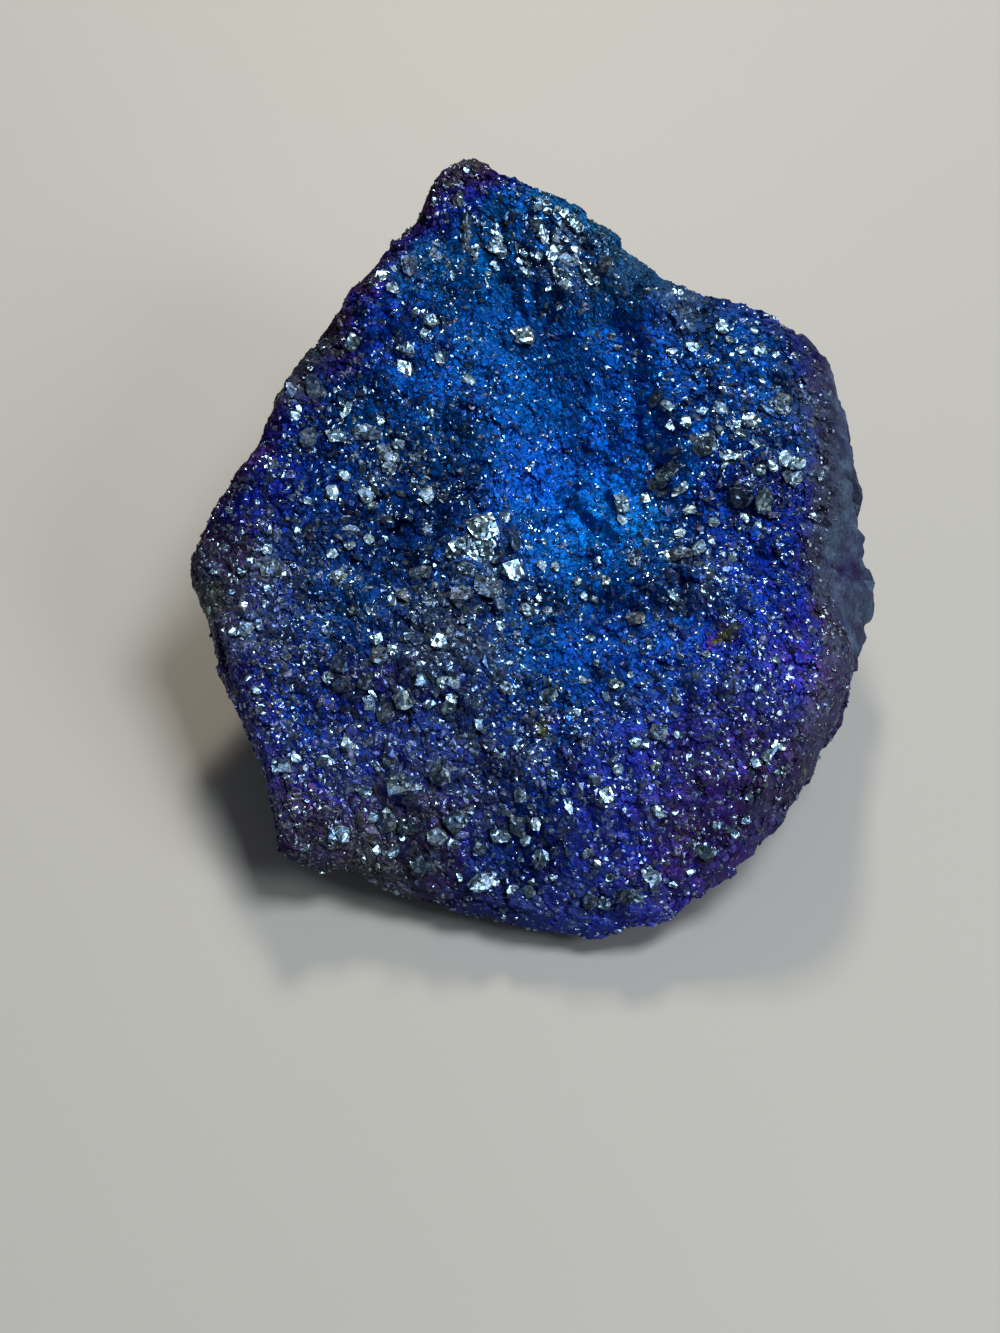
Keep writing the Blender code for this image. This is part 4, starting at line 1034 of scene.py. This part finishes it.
def tarnish_at(points, wall):
    """Film and light, the light partly painted light and shade: the patches' values averaged by nearness,
    then the rim's, then the wall's own.
    """
    film = np.zeros(len(points))
    light = np.zeros(len(points))
    weight = np.full(len(points), 1e-6)
    moved = points[:, :2] + np.stack([lumps(points, [layer]) for layer in PATCH_WANDER], axis=1)
    for x, y, reach, patch_film, patch_painted_light in FILM_ZONES:
        near = nearness(moved, x, y, reach)
        film += near * patch_film
        light += near * patch_painted_light
        weight += near
    angle, rim = rim_at(moved)
    film = film / weight
    film = film + RIM_FIRMNESS * rim * (round_curve(RIM_FILM, angle) - film)
    film = film + lumps(points, FILM_MOTTLE)
    for x, y, reach, strength in BRASS_SPOTS:
        film = film * (1.0 - strength * nearness(moved, x, y, reach))
    # the rim is painted a little darker: painted shade where the edge turns away
    light = (1.0 - RIM_PAINTED_SHADE * rim) * light / weight
    light = light * (1.0 + lumps(points, LIGHT_MOTTLE))
    side = WALL_FILM + lumps(points, WALL_MOTTLE)
    return film + (side - film) * wall, light + (WALL_LIGHT - light) * wall


def dust_at(points, wall):
    """How dusty and dull the ground is: the named patches, the rim and most of the wall."""
    dust = np.zeros(len(points))
    ragged = 0.5 + lumps(points, DUST_RAGGEDNESS)
    for x, y, reach, strength in DUST_PATCHES:
        dust = np.maximum(dust, strength * nearness(points, x, y, reach) * (LEAST_DUST + ragged))
    angle, rim = rim_at(points)
    dust = dust + round_curve(RIM_DUST, angle) * rim * ragged
    side = WALL_DUST + lumps(points, WALL_DUST_MOTTLE) + lumps(points * STREAK_SQUEEZE, WALL_STREAKS)
    return np.clip(dust + (side - dust) * wall, 0.0, 1.0)


def crowd_at(points, everywhere, fields, thinning):
    """How thick one sort of grain lies: evenly, more in its fields, and less on smooth ground."""
    crowd = np.full(len(points), everywhere)
    for x, y, reach, much in fields:
        crowd += much * nearness(points, x, y, reach)
    return crowd * coarseness_at(points, thinning)


def coarseness_at(points, firmness):
    """1, and less on the smooth ground: by each place's own share, times a firmness."""
    coarse = np.ones(len(points))
    for x, y, reach, finer in FINE_FIELDS:
        coarse *= 1.0 - firmness * finer * nearness(points, x, y, reach)
    return coarse


def write_mesh(name, points, faces, material, values):
    """Put arrays into a mesh: points in millimetres, faces all of one size, and named values per point."""
    mesh = bpy.data.meshes.new(name)
    corners = faces.shape[1]
    mesh.vertices.add(len(points))
    mesh.vertices.foreach_set("co", (points * MM).astype(np.float32).ravel())
    mesh.loops.add(faces.size)
    mesh.loops.foreach_set("vertex_index", faces.astype(np.int32).ravel())
    mesh.polygons.add(len(faces))
    mesh.polygons.foreach_set("loop_start", np.arange(0, faces.size, corners, dtype=np.int32))
    mesh.update(calc_edges=True)
    mesh.validate()
    mesh.shade_flat()
    for label, value in values.items():
        layer = mesh.attributes.new(label, "FLOAT", "POINT")
        layer.data.foreach_set("value", value.astype(np.float32))
    mesh.materials.append(material)
    piece = bpy.data.objects.new(name, mesh)
    bpy.context.scene.collection.objects.link(piece)
    return piece


def turned_form(profile, sides):
    """A small faceted solid: a flat many-sided top, rings down a profile, and a point at the bottom.

    Each ring's place is its radius round the axis and its height, and rings
    are turned half a side from one to the next.
    """
    points = []
    for level, (radius, height) in enumerate(profile[:-1]):
        turn = 2.0 * math.pi * (np.arange(sides) + 0.5 * level) / sides
        points.append(columns(radius * np.cos(turn), radius * np.sin(turn), height))
    points.append(np.array([[0.0, 0.0, profile[-1][1]]]))
    points = np.concatenate(points)
    faces = [(0, k, k + 1) for k in range(1, sides - 1)]
    last = (len(profile) - 2) * sides
    for upper in range(0, last, sides):
        lower = upper + sides
        for k in range(sides):
            after = (k + 1) % sides
            faces.append((upper + k, lower + k, upper + after))
            faces.append((upper + after, lower + k, lower + after))
    for k in range(sides):
        faces.append((last + k, last + sides, last + (k + 1) % sides))
    return points, np.array(faces)


def scatter(points, faces, normals, weight, count, rng):
    """Strew places over the surface: a face is drawn by its area times its weight, then a spot on it."""
    area = np.linalg.norm(face_normals(points, faces), axis=1)
    chance = area * weight[faces].mean(axis=1)
    drawn = rng.choice(len(faces), count, p=chance / chance.sum())
    u = rng.uniform(size=(count, 1))
    v = rng.uniform(size=(count, 1))
    mix = np.stack([(1 - u) * (1 - v), u * (1 - v), u * v, (1 - u) * v], axis=1)
    corner = faces[drawn]
    place = np.sum(points[corner] * mix, axis=1)
    up = np.sum(normals[corner] * mix, axis=1)
    return place, unit(up), corner[:, 0]


def turned_frames(up, tilt, rng, along=None):
    """Frames whose third axis is up, with a random lean; the first is random, or lies along a heading."""
    count = len(up)
    third = unit(up + rng.normal(0.0, tilt, (count, 3)))
    beside = rng.normal(size=(count, 3)) if along is None else np.cross(third, along)
    first = unit(np.cross(beside, third))
    second = np.cross(third, first)
    return np.stack([first, second, third], axis=2)


def grain_arrays(form, place, frames, sizes, stretch, jitter, rng):
    """One array for all grains: the form with jittered points, scaled, turned and set in place."""
    template, faces = form
    count = len(place)
    local = template[None] + rng.normal(0.0, jitter, (count, len(template), 3))
    stretch = np.broadcast_to(stretch, count)
    widths = np.stack([sizes * stretch, sizes / np.sqrt(stretch), sizes], axis=1)
    world = np.einsum("nij,nkj->nki", frames, local * widths[:, None]) + place[:, None]
    steps = np.arange(count)[:, None, None] * len(template)
    return world.reshape(-1, 3), (faces[None] + steps).reshape(-1, 3)


def new_material(name):
    """An empty node material with one shader: the material, its node tree and the shader."""
    material = bpy.data.materials.new(name)
    material.use_nodes = True
    tree = material.node_tree
    tree.nodes.clear()
    output = tree.nodes.new("ShaderNodeOutputMaterial")
    shader = tree.nodes.new("ShaderNodeBsdfPrincipled")
    tree.links.new(shader.outputs["BSDF"], output.inputs["Surface"])
    return material, tree, shader


def feed(tree, node, values):
    """Feed a node's inputs, each with another node's output or a plain number, vector or colour."""
    for place, value in values.items():
        socket = node.inputs[place]
        if isinstance(value, bpy.types.NodeSocket):
            tree.links.new(value, socket)
        elif socket.type == "RGBA":
            socket.default_value = (*value, 1.0)
        else:
            socket.default_value = value
    return node


def value_node(tree, label):
    """Read one of the mesh's values per point."""
    node = tree.nodes.new("ShaderNodeAttribute")
    node.attribute_name = label
    return node.outputs["Fac"]


def math_node(tree, operation, *values):
    """One sum, product or the like, of outputs or plain numbers."""
    node = tree.nodes.new("ShaderNodeMath")
    node.operation = operation
    return feed(tree, node, dict(enumerate(values))).outputs[0]


def mix_colours(tree, share, first, second, blend="MIX"):
    """Blend two colours by a share; each may be an output or a plain colour."""
    node = tree.nodes.new("ShaderNodeMix")
    node.data_type = "RGBA"
    node.blend_type = blend
    return feed(tree, node, {0: share, 6: first, 7: second}).outputs[2]


def film_ramp(tree, source):
    """Turn film thickness into its colour."""
    node = feed(tree, tree.nodes.new("ShaderNodeValToRGB"), {0: source})
    ramp = node.color_ramp
    ramp.elements.remove(ramp.elements[-1])
    ramp.elements[0].position = FILM_COLOURS[0][0]
    ramp.elements[0].color = (*FILM_COLOURS[0][1], 1.0)
    for position, colour in FILM_COLOURS[1:]:
        ramp.elements.new(position).color = (*colour, 1.0)
    return node.outputs[0]


def vector_node(tree, operation, values):
    """One sum, difference or the like, of vector outputs or plain vectors."""
    node = tree.nodes.new("ShaderNodeVectorMath")
    node.operation = operation
    return feed(tree, node, values).outputs[0]


def ore_material(name, roughness, metal, cell, tilt, shades, gaps):
    """Tarnished ore: film colour painted brighter or darker by the mesh's light value, partly painted light
    and shade; bare metal and dust by the mesh's values; glitter by tiny tilts.

    Space is parted into cells as small as the ore's facets. Each cell has its
    own brightness between the two shades, its own small change of film, and
    its own small tilt of the surface. The lines between cells are painted darker
    by the share that gaps gives: painted shade in the cracks between cells.
    """
    material, tree, shader = new_material(name)
    where = tree.nodes.new("ShaderNodeTexCoord").outputs["Object"]
    fine = {"Vector": where, "Scale": 1.0 / (cell * MM)}
    own = feed(tree, tree.nodes.new("ShaderNodeTexVoronoi"), fine).outputs["Color"]
    parts = feed(tree, tree.nodes.new("ShaderNodeSeparateColor"), {0: own}).outputs
    borders = tree.nodes.new("ShaderNodeTexVoronoi")
    borders.feature = "DISTANCE_TO_EDGE"
    border = feed(tree, borders, fine).outputs["Distance"]
    # thin dark lines along cell borders: painted shade in the cracks between cells
    line = feed(tree, tree.nodes.new("ShaderNodeMapRange"), {0: border, 2: CRACK_SHADE_WIDTH, 3: 1.0 - gaps})
    shade = feed(tree, tree.nodes.new("ShaderNodeMapRange"), {0: parts[1], 3: shades[0], 4: shades[1]})
    shade = math_node(tree, "MULTIPLY", shade.outputs[0], line.outputs[0])
    coarse = {"Vector": where, "Scale": MOTTLE_SCALE, "Detail": MOTTLE_DETAIL}
    mottle = feed(tree, tree.nodes.new("ShaderNodeTexNoise"), coarse).outputs[0]

    film = value_node(tree, "film")
    for source, change in ((mottle, MOTTLE_FILM), (parts[0], CELL_FILM)):
        film = math_node(tree, "ADD", film, math_node(tree, "MULTIPLY_ADD", source, change, -change / 2.0))
    # the film's colour times the light value: partly painted light and shade
    colour = mix_colours(tree, 1.0, film_ramp(tree, film), value_node(tree, "light"), "MULTIPLY")
    sheen = value_node(tree, "sheen")
    bare = math_node(tree, "MULTIPLY_ADD", parts[2], CELL_BARENESS, LEAST_BARENESS)
    bare = math_node(tree, "MULTIPLY", value_node(tree, "bare"), bare)
    colour = mix_colours(tree, bare, colour, mix_colours(tree, sheen, OLIVE, SILVER))
    dust = math_node(tree, "MULTIPLY", mottle, MOTTLE_DUST)
    dust = math_node(tree, "MULTIPLY", value_node(tree, "dust"), dust)
    colour = mix_colours(tree, dust, colour, DUST)
    colour = mix_colours(tree, 1.0, colour, shade, "MULTIPLY")

    stony = math_node(tree, "MULTIPLY", bare, math_node(tree, "SUBTRACT", 1.0, sheen))
    rough = math_node(tree, "MULTIPLY_ADD", dust, DUST_ROUGHNESS, roughness)
    rough = math_node(tree, "MULTIPLY_ADD", stony, STONE_ROUGHNESS, rough)
    metallic = math_node(tree, "MULTIPLY_ADD", dust, -DUST_COVER * metal, metal)
    metallic = math_node(tree, "MULTIPLY_ADD", stony, -STONE_COVER, metallic)
    facing = tree.nodes.new("ShaderNodeNewGeometry").outputs["Normal"]
    lean = vector_node(tree, "SUBTRACT", {0: own, 1: (0.5, 0.5, 0.5)})
    lean = vector_node(tree, "SCALE", {0: lean, "Scale": tilt})
    facing = vector_node(tree, "NORMALIZE", {0: vector_node(tree, "ADD", {0: facing, 1: lean})})
    feed(tree, shader, {
        "Base Color": colour, "Roughness": rough, "Metallic": metallic,
        "Specular IOR Level": 0.0, "Normal": facing,
    })
    return material


def dress(piece):
    """Say that a piece rides on the root body, and hide the chunk's solid that it stands for."""
    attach(piece, "root")
    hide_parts("peacock_ore")


def survey():
    """The chunk's surface and all that is told of each of its points."""
    direction, quads = sphere_grid(GRID_STEPS)
    smooth, down, stand = ore_point(direction)
    normals = point_normals(smooth, quads)
    own = smooth - (*PLAN_SHIFT, 0.0)
    angle, rim = rim_at(own)
    wall = smooth_step(down - round_curve(TARNISH_RUN, angle), *TARNISH_FADE)
    film, light = tarnish_at(own, wall)
    coarse = coarseness_at(own, 1.0)
    bare = crowd_at(own, BARE_EVERYWHERE, BARE_FIELDS, BARE_THINNING)
    bare = bare * (1.0 + lumps(own, BARE_MOTTLE)) * (1.0 - BARE_LOSS * wall)
    dull = crowd_at(own, DULL_EVERYWHERE, DULL_FIELDS, DULL_THINNING)
    return {
        "points": add_facets(smooth, normals, down, coarse),
        "quads": quads,
        "normals": normals,
        "wall": wall,
        "film": film,
        "light": light,
        "dust": dust_at(own, wall),
        "bare": np.clip(bare, *BARE_RANGE),
        "dull": np.maximum(dull, LEAST_DULL) * (1.0 - DULL_LOSS * wall),
        "coarse": coarse * (1.0 - RIM_FINENESS * rim),
        "above": smooth_step(smooth[:, 2], *TABLE_FADE),
        "crystal": smooth_step(stand, *CRYSTAL_FADE),
    }


def finish_grains(name, finish, form, arrays, values):
    """Write one joined mesh of grains; each grain's values go to all its points."""
    points, faces = arrays
    points[:, 2] = np.maximum(points[:, 2], LOWEST_GRAIN)
    repeat = len(form[0])
    spread = {label: np.repeat(np.clip(value, 0.0, MOST_VALUE), repeat) for label, value in values.items()}
    dress(write_mesh(name, points, faces, finish, spread))


def strew(name, finish, form, ore, weight, look):
    """Strew one sort of grain over the chunk by weight, each with its own size, tilt, film and sheen."""
    count = look["count"]
    rng = np.random.default_rng(look["seed"])
    place, up, corner = scatter(ore["points"], ore["quads"], ore["normals"], weight, count, rng)
    wall = ore["wall"][corner]
    sizes = look["size"] * np.exp(rng.normal(0.0, look["spread"], count))
    sizes = sizes * ore["coarse"][corner] ** look["fineness"] * (1.0 - WALL_FINENESS * wall)
    place = place - up * (sizes * look["sink"])[:, None]
    frames = turned_frames(up, look["tilt"], rng)
    arrays = grain_arrays(form, place, frames, sizes, look["stretch"], GRAIN_JITTER, rng)
    low, high = look["sheen"]
    finish_grains(name, finish, form, arrays, {
        "film": ore["film"][corner] + rng.normal(0.0, look["film_spread"], count),
        "light": ore["light"][corner] * np.exp(rng.normal(0.0, look["light_spread"], count)),
        "bare": rng.uniform(*look["bare"], count) * (1.0 - WALL_BARENESS * wall),
        "sheen": low + (high - low) * rng.uniform(size=count) ** look["sheen_lean"],
        "dust": GRAIN_DUST * ore["dust"][corner],
    })


def on_face(x, y):
    """Points of the upper face at plan places, drawn in to its edge, and its upward normals there."""
    edge, _, _ = outline_at(bearing(x, y))
    inward = np.minimum(1.0, BLOCK_BOUND * edge / np.maximum(np.hypot(x, y), 1e-6))
    x = x * inward
    y = y * inward
    height, _ = face_height(x, y)
    east, _ = face_height(x + SLOPE_STEP, y)
    north, _ = face_height(x, y + SLOPE_STEP)
    up = columns((height - east) / SLOPE_STEP, (height - north) / SLOPE_STEP, 1.0)
    height = height - EDGE_ROUNDING * (np.hypot(x, y) / edge) ** EDGE_SHARPNESS
    return columns(x, y, height) + (*PLAN_SHIFT, 0.0), unit(up)


def crystal_values(bare, sheen):
    """What the material is told of larger crystals and their chips, which have an even film and no dust."""
    even = np.ones(len(bare))
    return {"film": BLOCK_FILM * even, "light": even, "bare": bare, "sheen": sheen, "dust": 0.0 * even}


def grow_blocks(finish, form):
    """The larger bare crystals at their own places, and small chips grown on top of each."""
    rng = np.random.default_rng(BLOCK_SEED)
    rows = [(x, y, width, BLOCK_STRETCH, rng.uniform(0.0, 180.0), sheen) for x, y, width, sheen in BLOCKS]
    x, y, width, stretch, heading, sheen = np.array(rows + LONG_BLOCKS).T
    place, up = on_face(x, y)
    arm = BLOCK_ARM * width
    rims = [on_face(x + arm * east, y + arm * north)[0][:, 2] for east, north in COMPASS]
    place[:, 2] = (1.0 - BLOCK_PROUDNESS) * place[:, 2] + BLOCK_PROUDNESS * np.max(rims, axis=0)
    along = columns(*east_north(heading), 0.0)
    sizes = width / BLOCK_SPAN
    up = up + (sheen**FACING_POWER)[:, None] * (np.array(BRIGHT_FACING) - up)
    frames = turned_frames(up, BLOCK_TILT, rng, along)
    arrays = grain_arrays(form, place + BLOCK_RISE * up, frames, sizes, stretch, BLOCK_JITTER, rng)
    bare = rng.uniform(*BLOCK_BARENESS, len(x))
    values = crystal_values(bare, sheen * rng.uniform(*BLOCK_SHEEN, len(x)))
    finish_grains("bare_blocks", finish, form, arrays, values)

    crowd = CHIP_CROWD * width**2 * stretch * (1.0 - CHIP_LOSS * sheen)
    home = np.repeat(np.arange(len(x)), np.round(crowd).astype(int))
    count = len(home)
    local = rng.uniform(-CHIP_REACH, CHIP_REACH, (count, 3))
    local[:, 0] *= stretch[home]
    local[:, 2] = rng.uniform(*CHIP_HEIGHTS, count)
    spot = np.einsum("nij,nj->ni", frames[home], local * sizes[home][:, None]) + place[home]
    chips = CHIP_SIZE * np.exp(rng.normal(0.0, CHIP_SPREAD, count))
    chips = chips * np.minimum(1.0, CHIP_SHARE * width[home])
    frames = turned_frames(up[home], CHIP_TILT, rng)
    arrays = grain_arrays(form, spot, frames, chips, BLOCK_STRETCH, CHIP_JITTER, rng)
    bare = rng.uniform(*BLOCK_BARENESS, count)
    sheen = sheen[home] * rng.uniform(*CHIP_SHEEN, count) + rng.uniform(0.0, CHIP_GLEAM, count)
    finish_grains("block_chips", finish, form, arrays, crystal_values(bare, sheen))


def build_ore():
    """The chunk and its sorts of grains."""
    ore = survey()
    ground = ore_material("tarnished_ground", *GROUND_FINISH)
    dress(write_mesh("ore_chunk", ore["points"], ore["quads"], ground, {
        "film": ore["film"],
        # the ground shows between grains and is painted darker there, a painted shade in the gaps
        "light": GROUND_PAINTED_GAP_SHADE * ore["light"],
        "bare": GROUND_BARENESS * ore["crystal"] * smooth_step(ore["bare"], *KNOT_FADE),
        "sheen": GROUND_SHEEN * ore["crystal"],
        "dust": ore["dust"],
    }))

    flake = turned_form(FLAKE_PROFILE, 5)
    cobble = turned_form(COBBLE_PROFILE, 4)
    film_finish = ore_material("film_grain", *FILM_GRAIN_FINISH)
    bare_finish = ore_material("bare_grain", *BARE_GRAIN_FINISH)
    shown = ore["above"] * (1.0 - GRAIN_LOSS * ore["wall"])
    glinting = shown * (GLINTS_EVERYWHERE + GLINTS_AMONG_BARE * ore["bare"])
    strew("fine_flakes", film_finish, flake, ore, shown, FINE_FLAKES)
    strew("film_cobbles", film_finish, cobble, ore, shown, FILM_COBBLES)
    strew("silver_grains", bare_finish, cobble, ore, shown * ore["bare"], SILVER_GRAINS)
    strew("azure_glints", bare_finish, cobble, ore, glinting, AZURE_GLINTS)
    strew("dull_grains", bare_finish, cobble, ore, ore["above"] * ore["dull"], DULL_GRAINS)
    grow_blocks(ore_material("crystal_face", *CRYSTAL_FINISH), turned_form(BLOCK_PROFILE, 4))


def build_floor():
    """A plain pale tabletop, a hair under the chunk."""
    points = np.array([[-1, -1, 0], [1, -1, 0], [1, 1, 0], [-1, 1, 0]], float) * FLOOR_WIDTH / 2.0
    points[:, 2] = -FLOOR_DROP
    material, tree, shader = new_material("pale_tabletop")
    where = tree.nodes.new("ShaderNodeTexCoord").outputs["Object"]
    grain = feed(tree, tree.nodes.new("ShaderNodeTexNoise"), {"Scale": FLOOR_GRAIN, "Vector": where})
    colour = mix_colours(tree, grain.outputs[0], *FLOOR_COLOURS)
    feed(tree, shader, {"Base Color": colour, "Roughness": FLOOR_ROUGHNESS})
    floor = write_mesh("tabletop", points, np.array([[0, 1, 2, 3]]), material, {})


def add_light(name, place, width, power, colour):
    """A square soft light at a place in millimetres, turned to the chunk."""
    lamp = bpy.data.lights.new(name, "AREA")
    lamp.shape = "SQUARE"
    lamp.size = width * MM
    lamp.energy = power
    lamp.color = colour
    holder = bpy.data.objects.new(name, lamp)
    holder.location = Vector(place) * MM
    holder.rotation_euler = (Vector(LIGHT_AIM) - Vector(place)).to_track_quat("-Z", "Y").to_euler()
    bpy.context.scene.collection.objects.link(holder)


def light_scene():
    """A warm lamp behind, a cool window high on the right, a paler one low on the right, and a dim room."""
    add_light("warm_lamp", *WARM_LAMP)
    add_light("high_window", *HIGH_WINDOW)
    add_light("low_window", *LOW_WINDOW)
    world = bpy.data.worlds.new("pale_room")
    bpy.context.scene.world = world
    world.use_nodes = True
    tree = world.node_tree
    feed(tree, tree.nodes["Background"], {"Color": ROOM_COLOUR, "Strength": ROOM_POWER})


def place_camera():
    """The photograph's viewpoint: looking down along +Y at the tabletop."""
    lens = bpy.data.cameras.new("camera")
    lens.sensor_fit = "AUTO"
    lens.sensor_width = SENSOR_WIDTH
    lens.lens = SENSOR_WIDTH * FOCAL_PIXELS / PICTURE_HEIGHT
    lens.clip_start = NEAREST_VIEW
    lens.clip_end = FURTHEST_VIEW
    eye = bpy.data.objects.new("camera", lens)
    pitch = math.radians(CAMERA_ELEVATION)
    back = Vector((0.0, -math.cos(pitch), math.sin(pitch)))
    eye.location = (Vector((*CAMERA_AIM, 0.0)) + back * CAMERA_DISTANCE) * MM
    eye.rotation_euler = (math.pi / 2.0 - pitch, 0.0, 0.0)
    bpy.context.scene.collection.objects.link(eye)
    bpy.context.scene.camera = eye


bpy.context.scene.view_settings.view_transform = "Standard"
place_camera()
light_scene()
build_floor()
build_ore()
